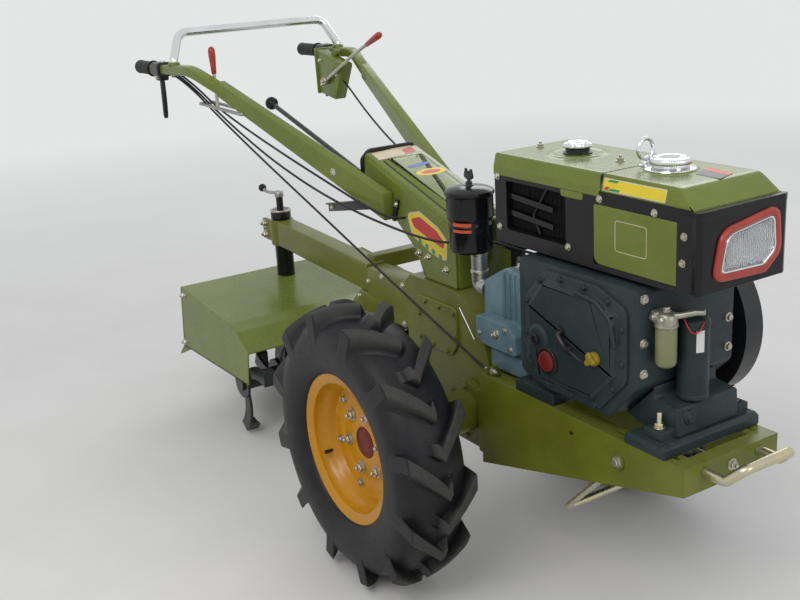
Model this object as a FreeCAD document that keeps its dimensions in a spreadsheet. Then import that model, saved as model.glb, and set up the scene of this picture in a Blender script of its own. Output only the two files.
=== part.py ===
import FreeCAD, Part
import math
import os
import re
import Sketcher
from FreeCAD import Placement, Rotation, Vector

# Walking tractor: a two-wheeled tractor with a single-cylinder diesel engine in front,
# long handlebars and a rotary tiller behind. Millimetres. X is forward, Y is to the
# operator's left, Z is up, and the origin is on the floor under the wheel axle.

doc = FreeCAD.newDocument("WalkingTractor")
sizes = doc.addObject("Spreadsheet::Sheet", "Sizes")

# name, value, what it is
SIZE_TABLE = [
    ("wheelTrackHalf", 380, "middle of a wheel from the middle plane"),
    ("tyreRadius", 323, "over the lugs"),
    ("tyreWidth", 165, "section width"),
    ("lugRise", 27, "lug height at the crown"),
    ("lugCount", 12, "lugs on each side of a tyre"),
    ("lugWide", 34, "lug width along the tread"),
    ("lugSweep", 15, "degrees from a lug's tip to its shoulder"),
    ("rimBeadRadius", 152, "bead seat of a 12 inch rim"),
    ("rimFlangeRise", 19, "flange above the bead seat"),
    ("rimHalfWidth", 62, "rim from its middle plane to the flange"),
    ("rimWall", 5, "rim sheet"),
    ("rimWellRadius", 136, "drop centre"),
    ("discOffset", 6, "disc face outboard of the wheel's middle"),
    ("discBore", 36, "hole for the hub cap"),
    ("hubBoltCircle", 71, "radius of the six hub bolts"),
    ("rimBoltCircle", 131, "radius of the six rim bolts"),
    ("hubFlangeRadius", 92, "hub flange"),
    ("hubFlangeThick", 14, "hub flange"),
    ("hubBarrelRadius", 46, "hub barrel"),
    ("hubBarrelLong", 60, "hub barrel"),
    ("axleRadius", 20, "axle shaft"),
    ("housingRadius", 50, "axle housing tube"),
    ("housingEnd", 236, "outer end of the axle housing"),
    ("housingFlangeRadius", 72, "bolted flange of the axle housing"),
    ("gearboxHalf", 92, "half width of the gearbox casting"),
    ("frameHalf", 124, "outer face of the frame's side plates"),
    ("framePlate", 6, "frame plate thickness"),
    ("frameRear", 81, "rear end of the frame"),
    ("frameFront", 697, "front face of the frame"),
    ("frameTop", 444, "top of the frame's flanges"),
    ("frameLowRear", 224, "lower edge at the rear"),
    ("frameLowFront", 388, "lower edge at the front"),
    ("flangeWide", 42, "inward flange on top of each side plate"),
    ("slotLong", 40, "engine mounting slot"),
    ("slotWide", 11, "engine mounting slot"),
    ("slotFront", 662, "front end of the front slots"),
    ("bumperRod", 10, "bumper rod radius"),
    ("bumperHalf", 72, "bumper foot from the middle"),
    ("bumperReach", 80, "bumper in front of the frame"),
    ("bumperLow", 424, "height of the bumper's feet"),
    ("bumperHigh", 455, "height of the bumper's bar"),
    ("standPivotX", 530, "stand pivot"),
    ("standPivotZ", 399, "stand pivot"),
    ("standRod", 8, "stand rod radius"),
    ("standBack", 186, "stand tip behind its pivot, folded"),
    ("standDown", 187, "stand tip below its pivot, folded"),
    ("standHalf", 106, "stand leg from the middle plane"),
    ("crankcaseRear", 236, "crankcase"),
    ("crankcaseFront", 580, "crankcase"),
    ("crankcaseLow", 482, "crankcase"),
    ("crankcaseTop", 753, "crankcase"),
    ("crankcaseHalf", 128, "crankcase"),
    ("coverThick", 20, "timing gear cover on the right side"),
    ("headRear", 62, "cylinder head"),
    ("headTop", 652, "cylinder head"),
    ("headLow", 500, "cylinder head"),
    ("headHalf", 92, "cylinder head"),
    ("crankX", 409, "crankshaft"),
    ("crankZ", 600, "crankshaft"),
    ("flywheelRadius", 175, "flywheel"),
    ("flywheelWide", 48, "flywheel"),
    ("flywheelInner", 160, "inner face of the flywheel from the middle plane"),
    ("crankShaft", 22, "crankshaft end radius"),
    ("enginePulleyRadius", 62, "three-groove pulley on the flywheel"),
    ("pulleyWide", 58, "pulley width"),
    ("clutchX", -60, "clutch pulley on the gearbox input"),
    ("clutchZ", 505, "clutch pulley on the gearbox input"),
    ("clutchRadius", 116, "clutch pulley"),
    ("beltWide", 15, "V-belt"),
    ("beltThick", 11, "V-belt"),
    ("beltPitch", 19, "spacing of the V-belts"),
    ("beltCount", 3, "V-belts"),
    ("footFront", 650, "front engine foot"),
    ("footRear", 545, "front engine foot"),
    ("footTop", 470, "top of the engine feet"),
    ("rearFootRear", 205, "rear engine foot"),
    ("rearFootFront", 330, "rear engine foot"),
    ("hoodHalf", 107, "hood half width"),
    ("hoodRear", 134, "rear of the hood"),
    ("hoodSeam", 460, "seam between radiator cover and tank"),
    ("hoodFront", 692, "lower front edge of the tank"),
    ("hoodRise", 31, "from the shoulder to the flat top"),
    ("hoodSideTall", 142, "black side panels, up to the radiator cover"),
    ("hoodBevel", 8, "width of the bevel seen from above"),
    ("lipDrop", 16, "from the shoulder to the radiator cover's lower edge"),
    ("hoodGap", 9, "from the crankcase top to the black side panels"),
    ("hoodPanelFront", 651, "front edge of the side panels"),
    ("hoodFrontRun", 39, "run of the tank's front bevel"),
    ("tankWall", 3, "wall of the tank and hood"),
    ("castWall", 12, "wall of the gearbox casting"),
    ("blockWall", 25, "wall of the engine block"),
    ("boxSheet", 5, "sheet of the console"),
    ("capRadius", 34, "filler caps"),
    ("radiatorCapX", 277, "radiator cap"),
    ("fuelCapX", 530, "fuel cap"),
    ("eyeAhead", 7, "lifting eye in front of the seam"),
    ("eyeRadius", 19, "lifting eye ring"),
    ("fasciaDeep", 14, "black front fascia before the tank's lower edge"),
    ("fasciaHalf", 115, "half width of the fascia"),
    ("fasciaTall", 152, "height of the fascia"),
    ("lipBelow", 6, "top of the fascia's lip below the shoulder"),
    ("fasciaSheet", 4, "wall of the fascia"),
    ("lampY", 5, "headlamp centre"),
    ("lampDrop", 80, "headlamp centre below the shoulder"),
    ("lampHalfWide", 87, "headlamp surround"),
    ("lampHalfTall", 60, "headlamp surround"),
    ("lampRim", 17, "width of the headlamp surround"),
    ("cleanerX", 36, "air cleaner"),
    ("cleanerY", -100, "air cleaner"),
    ("cleanerRadius", 52, "air cleaner"),
    ("cleanerLow", 716, "air cleaner"),
    ("cleanerTop", 866, "air cleaner"),
    ("consoleHalf", 78, "console half width"),
    ("consoleRear", -461, "rear of the console"),
    ("consoleRearTop", 876, "top of the console at the rear"),
    ("consoleFront", -48, "front of the console"),
    ("consoleFrontTop", 752, "top of the console at the front"),
    ("consoleFoot", 600, "console seat on the gearbox"),
    ("consolePlate", 5, "side plate thickness"),
    ("kneeX", -240, "bend of the console's underside"),
    ("kneeZ", 679, "bend of the console's underside"),
    ("heelX", -350, "lower rear corner of the side plate"),
    ("heelZ", 754, "lower rear corner of the side plate"),
    ("barWide", 30, "handlebar box section"),
    ("barFrontX", -310, "front end of a handlebar"),
    ("barFrontY", 98.3, "middle of a handlebar at its front end"),
    ("barFrontZ", 760.5, "middle of a handlebar at its front end"),
    ("barFrontTall", 69, "handlebar height at its front end"),
    ("barStepX", -950, "end of the deep section"),
    ("barStepY", 236, "end of the deep section"),
    ("barStepZ", 1020, "end of the deep section"),
    ("barStepTall", 42, "height there"),
    ("elbowX", -1071, "elbow"),
    ("elbowY", 270, "elbow"),
    ("elbowZ", 1066, "elbow"),
    ("gripStartX", -1330, "front of the grip"),
    ("gripEndX", -1452, "rear end of the grip"),
    ("gripY", 286, "grip"),
    ("gripZ", 1060, "grip"),
    ("tailTall", 32, "height of the thin rear section"),
    ("tailWide", 28, "width of the thin rear section"),
    ("gripRadius", 20, "grip"),
    ("railX", -1183, "handrail"),
    ("railRod", 12.5, "handrail tube radius"),
    ("railTop", 1166, "handrail"),
    ("railBend", 40, "handrail bend radius"),
    ("railInset", 36, "handrail's top corner inside its foot"),
    ("railLean", 30, "handrail's top corner behind its foot"),
    ("steerX", -1275, "middle of a steering lever's clamp"),
    ("bracketRear", -1221, "lever bracket"),
    ("bracketTop", 1075, "lever bracket"),
    ("bracketFront", -1050, "lever bracket"),
    ("bracketLow", 922, "lever bracket"),
    ("bracketWide", 38, "lever bracket"),
    ("redLeftY", 205, "left hand lever"),
    ("redTipX", -796, "tip of the left hand lever"),
    ("redTipZ", 1135, "tip of the left hand lever"),
    ("redRearX", -879, "rear of its grip"),
    ("redRearZ", 1102, "rear of its grip"),
    ("redPivotX", -1150, "pivot of the left hand lever"),
    ("redPivotZ", 980, "pivot of the left hand lever"),
    ("redRightX", -1000, "foot of the right hand lever"),
    ("redRightGap", 4, "right hand lever inside the bar"),
    ("redRightDrop", 74, "foot of the right hand lever below the bar's middle line"),
    ("redLean", -0.02, "lean of the right hand lever"),
    ("wireRear", -1128, "wire cable guide"),
    ("wireFront", -842, "wire cable guide"),
    ("wireWide", 40, "wire cable guide"),
    ("shiftBendX", -292, "bend of the gear lever"),
    ("shiftBendZ", 701, "bend of the gear lever"),
    ("shiftFootX", -226, "foot of the gear lever"),
    ("shiftBallX", -1127, "gear lever ball"),
    ("shiftBallZ", 936, "gear lever ball"),
    ("ballRadius", 20, "gear lever ball"),
    ("armHalf", 30, "half width of the tiller beam"),
    ("armRear", -1110, "rear end of the beam"),
    ("armRearTop", 570, "top of the beam at the rear"),
    ("armFront", -560, "front end of the beam"),
    ("armFrontTop", 545, "top of the beam at the front"),
    ("armTall", 80, "height of the beam"),
    ("postX", -1138, "depth post"),
    ("postRadius", 28, "depth post"),
    ("postTop", 575, "depth post"),
    ("postLow", 260, "lower end of the depth post"),
    ("stemRadius", 20, "stem that slides in the depth post"),
    ("stemTop", 450, "stem, as parked"),
    ("stemFoot", 190, "bridge of the fork"),
    ("boreTop", 520, "upper end of the post's bore"),
    ("forkPlate", 6, "fork of the tail wheel"),
    ("pinRadius", 8, "tail wheel pin"),
    ("clampWall", 9, "wall of the clamp round the post"),
    ("earLong", 55, "clamp ears behind the post"),
    ("neckRadius", 11, "neck of the depth post"),
    ("neckTop", 640, "neck of the depth post"),
    ("knobX", -1257, "crank knob"),
    ("knobZ", 653, "crank knob"),
    ("tailRadius", 84, "tail wheel"),
    ("tailWheelWide", 46, "tail wheel"),
    ("tailX", -1166, "tail wheel axle"),
    ("rotorX", -862, "rotor shaft"),
    ("rotorZ", 176, "rotor shaft"),
    ("rotorRadius", 167, "tip of a tine"),
    ("rotorHalf", 316, "half length of the rotor shaft"),
    ("rotorTube", 24, "rotor shaft"),
    ("tineFlanges", 6, "tine flanges along the shaft"),
    ("tinesEach", 3, "tines on a flange"),
    ("tineWide", 36, "tine width"),
    ("tineThick", 8, "tine thickness"),
    ("rotorInner", 84, "innermost tine flange from the middle"),
    ("rotorOuter", 305, "outermost tine flange from the middle"),
    ("coverHalf", 330, "tiller cover side plates"),
    ("coverSheet", 3, "tiller cover sheet"),
    ("coverRear", -1251, "lower rear corner of the cover"),
    ("coverLowRear", 193, "lower rear corner of the cover"),
    ("coverToe", -763, "lower front corner of the cover's side"),
    ("coverLowFront", 206, "lower front corner of the cover's side"),
    ("coverFront", -742, "lower edge of the front panel"),
    ("coverFrontZ", 308, "lower edge of the front panel"),
    ("coverRidgeX", -808, "upper edge of the front panel"),
    ("coverRidgeTop", 353, "upper edge of the front panel"),
    ("coverBendX", -860, "bend where the top panel begins"),
    ("coverBendTop", 365, "bend where the top panel begins"),
    ("coverBackX", -1218, "rear edge of the top panel"),
    ("coverBackTop", 396, "rear edge of the top panel"),
    ("notchHalf", 45, "notch for the tail wheel in the cover's rear"),
    ("notchTop", 262, "notch for the tail wheel in the cover's rear"),
    ("caseHalf", 34, "half width of the tiller's gear case"),
    ("running", 0.4, "gap between a shaft and its bearing"),
    ("clearance", 6, "gap beside a turning piece"),
    ("seat", 0.3, "gap at a curved seat"),
    ("cableRadius", 3, "control cable"),
]

for row, (name, value, note) in enumerate(SIZE_TABLE, 1):
    sizes.set("A%d" % row, name)
    sizes.set("B%d" % row, str(value))
    sizes.setAlias("B%d" % row, name)
    sizes.set("C%d" % row, note)
doc.recompute()
ALIASES = {name for name, value, note in SIZE_TABLE}
s = sizes

NODES = []


# heights that follow from others, each before those that it is made of
DERIVED = {
    "fasciaLow": "(hoodShoulder - fasciaTall)",
    "hoodTop": "(hoodShoulder + hoodRise)",
    "hoodShoulder": "(hoodLip + lipDrop)",
    "hoodLip": "(hoodLow + hoodSideTall)",
    "hoodLow": "(crankcaseTop + hoodGap)",
}
hoodShoulder = s.crankcaseTop + s.hoodGap + s.hoodSideTall + s.lipDrop
hoodTop = hoodShoulder + s.hoodRise


def bind(thing, prop, formula):
    """Ties a property to a formula in the sheet's names."""
    for name, meaning in DERIVED.items():
        formula = re.sub(r"\b%s\b" % name, meaning, formula)
    named = re.sub(r"[A-Za-z]\w*", lambda m: "Sizes." + m.group() if m.group() in ALIASES else m.group(), formula)
    thing.setExpression(prop, named)


def node(thing, label):
    """Marks an object as a sub-part and names it."""
    thing.Label = label
    NODES.append(thing)
    return thing


def originPlane(body, role):
    for part in body.Origin.OriginFeatures:
        if part.Role == role:
            return part


def outline(body, role, corners, away=None):
    """A closed sketch of straight edges, each corner dimensioned from the origin."""
    sketch = body.newObject("Sketcher::SketchObject", "Outline")
    sketch.AttachmentSupport = [(originPlane(body, role), "")]
    sketch.MapMode = "FlatFace"
    if away:
        bind(sketch, "AttachmentOffset.Base.z", away)
    count = len(corners)
    start = [Vector(100 * math.cos(2 * math.pi * i / count), 100 * math.sin(2 * math.pi * i / count), 0)
             for i in range(count)]
    for i in range(count):
        sketch.addGeometry(Part.LineSegment(start[i], start[(i + 1) % count]), False)
    for i in range(count):
        sketch.addConstraint(Sketcher.Constraint("Coincident", i, 2, (i + 1) % count, 1))
    for i, (across, up) in enumerate(corners):
        for kind, place, formula in (("DistanceX", start[i].x, across), ("DistanceY", start[i].y, up)):
            index = sketch.addConstraint(Sketcher.Constraint(kind, -1, 1, i, 1, place))
            bind(sketch, "Constraints[%d]" % index, formula)
    return sketch


def padded(name, role, corners, length, away=None, midplane=False, reverse=False):
    """A body padded from an outline on one of its own origin planes."""
    body = doc.addObject("PartDesign::Body", name)
    sketch = outline(body, role, corners, away)
    pad = body.newObject("PartDesign::Pad", "Pad")
    pad.Profile = sketch
    pad.Midplane = midplane
    pad.Reversed = reverse
    bind(pad, "Length", length)
    return body


def turned(name, role, corners, axis="V_Axis"):
    """A body revolved a full turn about an axis of its sketch."""
    body = doc.addObject("PartDesign::Body", name)
    sketch = outline(body, role, corners)
    turn = body.newObject("PartDesign::Revolution", "Turn")
    turn.Profile = sketch
    turn.ReferenceAxis = (sketch, [axis])
    turn.Angle = 360
    return body


def box(name, low, high):
    """A box between two corners given as formulas."""
    block = doc.addObject("Part::Box", name)
    for side, axis, a, b in zip(("Length", "Width", "Height"), "xyz", low, high):
        bind(block, side, "(%s) - (%s)" % (b, a))
        bind(block, "Placement.Base." + axis, a)
    return block


TURNS = {
    "z": Rotation(),
    "y": Rotation(Vector(1, 0, 0), -90),
    "x": Rotation(Vector(0, 1, 0), 90),
}


def rod(name, radius, length, foot, axis="z"):
    """A cylinder from its foot along an axis."""
    piece = doc.addObject("Part::Cylinder", name)
    piece.Placement = Placement(Vector(), TURNS[axis])
    bind(piece, "Radius", radius)
    bind(piece, "Height", length)
    for key, formula in zip("xyz", foot):
        bind(piece, "Placement.Base." + key, formula)
    return piece


def fused(name, pieces):
    whole = doc.addObject("Part::MultiFuse", name)
    whole.Shapes = pieces
    return whole


def cutOut(name, base, tools):
    """The base less the tools."""
    whole = doc.addObject("Part::Cut", name)
    whole.Base = base
    whole.Tool = tools[0] if len(tools) == 1 else fused(name + "Tools", tools)
    return whole


def grouped(name, pieces):
    """Separate solids that share a node."""
    whole = doc.addObject("Part::Compound", name)
    whole.Links = pieces
    return whole


def mirrored(name, piece):
    """The piece's twin on the other side of the middle plane."""
    twin = doc.addObject("Part::Mirroring", name)
    twin.Source = piece
    twin.Normal = Vector(0, 1, 0)
    twin.Base = Vector()
    return twin


def feature(name, shape):
    piece = doc.addObject("Part::Feature", name)
    piece.Shape = shape
    return piece


def bendRadius(before, corner, after, bend=math.inf):
    """The radius of the arc at a corner. Short runs get a smaller one."""
    half = (corner - before).getAngle(after - corner) / 2
    shorter = min((corner - before).Length, (after - corner).Length)
    return min(bend, 0.45 * shorter / math.tan(half))


def bentPath(points, bend):
    """Straight runs through the points, joined by tangent arcs."""
    edges = []
    last = points[0]
    for before, corner, after in zip(points, points[1:], points[2:]):
        into = (corner - before).normalize()
        out = (after - corner).normalize()
        half = into.getAngle(out) / 2
        radius = bendRadius(before, corner, after, bend)
        reach = radius * math.tan(half)
        start = corner - into * reach
        end = corner + out * reach
        inward = (out - into).normalize()
        middle = corner + inward * (radius / math.cos(half) - radius)
        if (start - last).Length > 0.01:
            edges.append(Part.LineSegment(last, start).toShape())
        edges.append(Part.Arc(start, middle, end).toShape())
        last = end
    edges.append(Part.LineSegment(last, points[-1]).toShape())
    return Part.Wire(edges)


def bentRod(points, radius, bend):
    """A round bar along a bent path."""
    path = bentPath(points, bend)
    ring = Part.Wire(Part.makeCircle(radius, points[0], points[1] - points[0]))
    return path.makePipeShell([ring], True, False)


def crossSection(middle, wide, tall):
    """An upright rectangle across X, for lofts along the machine."""
    y = wide / 2
    z = tall / 2
    ring = [middle + Vector(0, a, b) for a, b in ((-y, -z), (y, -z), (y, z), (-y, z), (-y, -z))]
    return Part.makePolygon(ring)


def prism(corners, low, high):
    """A plate with an outline in X and Z, between two Y planes."""
    ring = Part.makePolygon([Vector(x, low, z) for x, z in corners + corners[:1]])
    return Part.Face(ring).extrude(Vector(0, high - low, 0))


def turnedShape(corners, origin, axis):
    """A ring or disc whose outline is given as (radius, along the axis)."""
    side = Vector(1, 0, 0) if abs(axis.x) < 0.5 else Vector(0, 0, 1)
    ring = Part.makePolygon([origin + side * r + axis * a for r, a in corners + corners[:1]])
    return Part.Face(ring).revolve(origin, axis, 360)


# Front frame
sidePlate = padded("SidePlate", "XZ_Plane", [
    ("frameRear", "frameLowRear"), ("frameFront", "frameLowFront"),
    ("frameFront", "frameTop"), ("frameRear", "frameTop")],
    "framePlate", away="frameHalf - framePlate")
sideFlange = box("SideFlange", ("frameRear", "framePlate - frameHalf", "frameTop - framePlate"),
                 ("frameFront", "flangeWide - frameHalf", "frameTop"))
slots = []
for i, end in enumerate(("slotFront", "slotFront - 130", "rearFootFront - 25")):
    slots.append(box("Slot%d" % i, (end + " - slotLong", "flangeWide - frameHalf - 12 - slotWide", "frameTop - 20"),
                     (end, "flangeWide - frameHalf - 12", "frameTop + 20")))
rightRail = cutOut("RightRail", fused("RightRailBlank", [sidePlate, sideFlange]), slots)
leftRail = mirrored("LeftRail", rightRail)
frontPlate = box("FrontPlate", ("frameFront - framePlate", "framePlate - frameHalf", "frameLowFront"),
                 ("frameFront", "frameHalf - framePlate", "frameTop"))
frontLip = box("FrontLip", ("frameFront - 32", "framePlate - frameHalf", "frameTop - framePlate"),
               ("frameFront", "frameHalf - framePlate", "frameTop"))
rearCross = box("RearCross", ("frameRear + 60", "framePlate - frameHalf", "frameTop - 40"),
                ("frameRear + 100", "frameHalf - framePlate", "frameTop"))
standBoss = rod("StandBoss", "16", "6", ("standPivotX", "-frameHalf - 6", "standPivotZ"), "y")
cableStop = box("CableStop", ("100", "-120", "frameTop - 3"), ("104", "-96", "frameTop + 18"))
node(fused("FrontFrame", [rightRail, leftRail, frontPlate, frontLip, rearCross, standBoss, cableStop,
                          mirrored("StandBossLeft", standBoss)]), "front_frame")

bumperFoot = s.frameFront + s.seat
bumperBar = bentRod([
    Vector(bumperFoot, -s.bumperHalf, s.bumperLow),
    Vector(s.frameFront + s.bumperReach * 0.6, -s.bumperHalf, s.bumperLow),
    Vector(s.frameFront + s.bumperReach, -s.bumperHalf + 12, s.bumperHigh),
    Vector(s.frameFront + s.bumperReach, s.bumperHalf - 12, s.bumperHigh),
    Vector(s.frameFront + s.bumperReach * 0.6, s.bumperHalf, s.bumperLow),
    Vector(bumperFoot, s.bumperHalf, s.bumperLow)], s.bumperRod, 14)
node(feature("Bumper", bumperBar), "bumper")

pivot = Vector(s.standPivotX, 0, s.standPivotZ)
tip = pivot + Vector(-s.standBack, 0, -s.standDown)
across = Vector(0, s.standHalf, 0)
legs = bentRod([pivot - across, tip - across, tip + across, pivot + across], s.standRod, 26)
eyeOuter = s.frameHalf - s.framePlate - s.running
eyeLong = eyeOuter - s.standHalf + s.standRod + 4
eyes = [Part.makeCylinder(15, eyeLong, pivot + Vector(0, y, 0), Vector(0, 1, 0))
        for y in (-eyeOuter, eyeOuter - eyeLong)]
node(feature("FrontStand", legs.multiFuse(eyes)), "front_stand")

# Gearbox and axle housings
gearCase = padded("GearCase", "XZ_Plane", [
    ("-70", "tyreRadius - 92"), ("70", "tyreRadius - 92"), ("104", "tyreRadius - 40"),
    ("104", "frameTop - 50"), ("frameRear - 5", "frameTop - 20"), ("frameRear - 11", "frameTop + 26"),
    ("30", "560"), ("-40", "consoleFoot"), ("-240", "consoleFoot"), ("-262", "580"), ("-262", "400"),
    ("-120", "tyreRadius - 20")], "gearboxHalf * 2", midplane=True)
gearHollow = padded("GearHollow", "XZ_Plane", [
    ("castWall - 70", "tyreRadius - 92 + castWall"), ("70 - castWall", "tyreRadius - 92 + castWall"),
    ("88 - castWall", "tyreRadius - 30"), ("60 - castWall", "470"), ("-50 - castWall", "consoleFoot - castWall"),
    ("-240 + castWall", "consoleFoot - castWall"), ("-262 + castWall", "570"), ("-262 + castWall", "410"),
    ("-120 + castWall", "tyreRadius")], "(gearboxHalf - castWall) * 2", midplane=True)
frontSaddle = box("FrontSaddle", ("60", "framePlate - frameHalf", "frameLowRear + 20"),
                  ("frameRear + 40", "frameHalf - framePlate", "frameTop - 46"))
housing = rod("Housing", "housingRadius", "housingEnd * 2", ("0", "-housingEnd", "tyreRadius"), "y")
collars = [rod("Collar%d" % i, "housingFlangeRadius", "16", ("0", y, "tyreRadius"), "y")
           for i, y in enumerate(("-gearboxHalf - 16", "gearboxHalf"))]
bearings = [rod("BearingCap%d" % i, "housingRadius + 12", "26", ("0", y, "tyreRadius"), "y")
            for i, y in enumerate(("-housingEnd", "housingEnd - 26"))]
tubeBore = rod("TubeBore", "axleRadius + running", "housingEnd * 2", ("0", "-housingEnd", "tyreRadius"), "y")
inputBoss = rod("InputBoss", "58", "20", ("clutchX", "gearboxHalf", "clutchZ"), "y")
inputShaft = rod("InputShaft", "crankShaft", "flywheelInner + flywheelWide + pulleyWide + 12 - gearboxHalf",
                 ("clutchX", "gearboxHalf", "clutchZ"), "y")
node(cutOut("Gearbox", fused("GearboxBlank", [gearCase, frontSaddle, housing, inputBoss, inputShaft]
                             + collars + bearings), [tubeBore, gearHollow]), "gearbox")

# Wheels: hub, rim and tyre are built for the right side and mirrored
hubY = s.wheelTrackHalf - s.discOffset + s.rimWall
axis = Vector(0, -1, 0)
axle = Vector(0, 0, s.tyreRadius)
hubRight = turnedShape([
    (0, s.housingEnd - 50), (s.axleRadius, s.housingEnd - 50), (s.axleRadius, s.housingEnd + 6),
    (s.hubBarrelRadius - 8, s.housingEnd + 12), (s.hubBarrelRadius, s.wheelTrackHalf - s.hubFlangeThick - 20),
    (s.hubFlangeRadius, s.wheelTrackHalf - s.hubFlangeThick - s.rimWall + s.discOffset),
    (s.hubFlangeRadius, s.wheelTrackHalf - s.rimWall + s.discOffset),
    (s.discBore - s.seat, s.wheelTrackHalf - s.rimWall + s.discOffset),
    (s.discBore - s.seat, s.wheelTrackHalf + s.discOffset + 2),
    (s.discBore - 8, s.wheelTrackHalf + s.discOffset + 9), (0, s.wheelTrackHalf + s.discOffset + 10)],
    axle, axis)
hub = node(feature("HubRight", hubRight), "hub_right")
node(mirrored("HubLeft", hub), "hub_left")

flangeRadius = s.rimBeadRadius + s.rimFlangeRise
w = s.rimHalfWidth
t = s.rimWall
discFace = s.discOffset
half = s.wheelTrackHalf
rimShape = turnedShape([(r, half + a) for r, a in [
    (s.discBore, discFace - t), (s.rimWellRadius - t, discFace - t), (s.rimWellRadius - t, discFace - t - 12),
    (s.rimWellRadius, discFace - t - 20), (s.rimBeadRadius - t, -w + 26), (s.rimBeadRadius - t, -w + t),
    (flangeRadius, -w), (flangeRadius + 2, -w + t), (s.rimBeadRadius, -w + 2 * t),
    (s.rimBeadRadius, -w + 30), (s.rimWellRadius + t, -w + 44), (s.rimWellRadius + t, w - 40),
    (s.rimBeadRadius, w - 26), (s.rimBeadRadius, w - 2 * t), (flangeRadius + 2, w - t), (flangeRadius, w),
    (s.rimBeadRadius - t, w - t), (s.rimBeadRadius - t, w - 24), (s.rimWellRadius, w - 36),
    (s.rimWellRadius, discFace), (s.discBore, discFace)]], axle, axis)
rim = node(feature("RimRight", rimShape), "rim_right")
node(mirrored("RimLeft", rim), "rim_left")

# Tyre: a solid ring with a rounded section, and swept lugs bounded by the crown
carcass = s.tyreRadius - s.lugRise
shoulder = s.tyreWidth / 2
beadOut = s.rimBeadRadius + s.seat
beadSide = w - 2 * t - s.seat
ringSection = Part.Wire([
    Part.makeLine(Vector(beadOut, 0, -beadSide), Vector(beadOut, 0, beadSide)),
    Part.makeLine(Vector(beadOut, 0, beadSide), Vector(flangeRadius + 4, 0, beadSide + 4)),
    Part.Arc(Vector(flangeRadius + 4, 0, beadSide + 4), Vector(carcass - 66, 0, shoulder),
             Vector(carcass - 22, 0, shoulder - 12)).toShape(),
    Part.Arc(Vector(carcass - 22, 0, shoulder - 12), Vector(carcass, 0, 0),
             Vector(carcass - 22, 0, 12 - shoulder)).toShape(),
    Part.Arc(Vector(carcass - 22, 0, 12 - shoulder), Vector(carcass - 66, 0, -shoulder),
             Vector(flangeRadius + 4, 0, -beadSide - 4)).toShape(),
    Part.makeLine(Vector(flangeRadius + 4, 0, -beadSide - 4), Vector(beadOut, 0, -beadSide))])
ring = Part.Face(ringSection).revolve(Vector(), Vector(0, 0, 1), 360)

crown = Part.Wire([
    Part.makeLine(Vector(carcass - 40, 0, -shoulder - 2), Vector(carcass - 40, 0, shoulder + 2)),
    Part.makeLine(Vector(carcass - 40, 0, shoulder + 2), Vector(s.tyreRadius - 16, 0, shoulder - 4)),
    Part.Arc(Vector(s.tyreRadius - 16, 0, shoulder - 4), Vector(s.tyreRadius, 0, 0),
             Vector(s.tyreRadius - 16, 0, 4 - shoulder)).toShape(),
    Part.makeLine(Vector(s.tyreRadius - 16, 0, 4 - shoulder), Vector(carcass - 40, 0, -shoulder - 2))])
crownRing = Part.Face(crown).revolve(Vector(), Vector(0, 0, 1), 360)
sweep = s.tyreRadius * math.radians(s.lugSweep)
wide = s.lugWide / 2
# a lug's plan, across the tread and along it, tip first
plan = [(-12, -wide), (-12, wide * 0.6), (shoulder * 0.45, sweep * 0.62 + wide), (shoulder + 6, sweep + wide),
        (shoulder + 6, sweep - wide), (shoulder * 0.5, sweep * 0.55 - wide), (4, -wide)]
lugFace = Part.Face(Part.makePolygon([Vector(0, y, x) for x, y in plan + plan[:1]]))
lug = lugFace.extrude(Vector(s.tyreRadius + 10, 0, 0)).common(crownRing)
lugs = []
pitch = 360.0 / s.lugCount
for i in range(int(s.lugCount)):
    for side in (1, -1):
        piece = lug.copy() if side > 0 else lug.mirror(Vector(), Vector(0, 0, 1))
        piece.rotate(Vector(), Vector(0, 0, 1), pitch * (i + (0.5 if side < 0 else 0)))
        lugs.append(piece)
tyreShape = ring.multiFuse(lugs)
# the ring was built about Z: its Z becomes Y, so that a lug's tip meets the ground first
tyreShape.Placement = Placement(Vector(0, -half, s.tyreRadius), Rotation(Vector(1, 0, 0), 90))
tyre = node(feature("TyreRight", tyreShape), "tyre_right")
node(mirrored("TyreLeft", tyre), "tyre_left")

# Engine
crankcase = padded("Crankcase", "XZ_Plane", [
    ("crankcaseRear", "crankcaseLow + 20"), ("crankcaseRear + 90", "crankcaseLow"),
    ("crankcaseFront - 80", "crankcaseLow"), ("crankcaseFront", "crankcaseLow + 80"),
    ("crankcaseFront", "crankcaseTop"), ("crankcaseRear", "crankcaseTop")],
    "crankcaseHalf * 2", midplane=True)
crankHollow = padded("CrankHollow", "XZ_Plane", [
    ("crankcaseRear + blockWall", "crankcaseLow + blockWall + 8"),
    ("crankcaseFront - 80 - blockWall", "crankcaseLow + blockWall + 8"),
    ("crankcaseFront - blockWall", "crankcaseLow + 96"), ("crankcaseFront - blockWall", "crankcaseTop - blockWall"),
    ("crankcaseRear + blockWall", "crankcaseTop - blockWall")], "(crankcaseHalf - blockWall) * 2", midplane=True)
crankHole = rod("CrankHole", "crankShaft + running", "blockWall + 20",
                ("crankX", "crankcaseHalf - blockWall - 10", "crankZ"), "y")
node(cutOut("CrankcaseShell", crankcase, [crankHollow, crankHole]), "crankcase")
gearCover = padded("GearCover", "XZ_Plane", [
    ("crankcaseRear + 30", "crankcaseLow + 60"), ("crankcaseRear + 75", "crankcaseLow + 12"),
    ("crankcaseFront - 96", "crankcaseLow + 12"), ("crankcaseFront - 22", "crankcaseLow + 88"),
    ("crankcaseFront - 22", "crankcaseTop - 40"), ("crankcaseFront - 100", "crankcaseTop - 10"),
    ("crankcaseRear + 90", "crankcaseTop - 10"), ("crankcaseRear + 30", "crankcaseTop - 80")],
    "coverThick", away="crankcaseHalf")
redPlug = rod("RedPlug", "22", "14", ("354", "-crankcaseHalf - coverThick - 14", "561"), "y")
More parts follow.
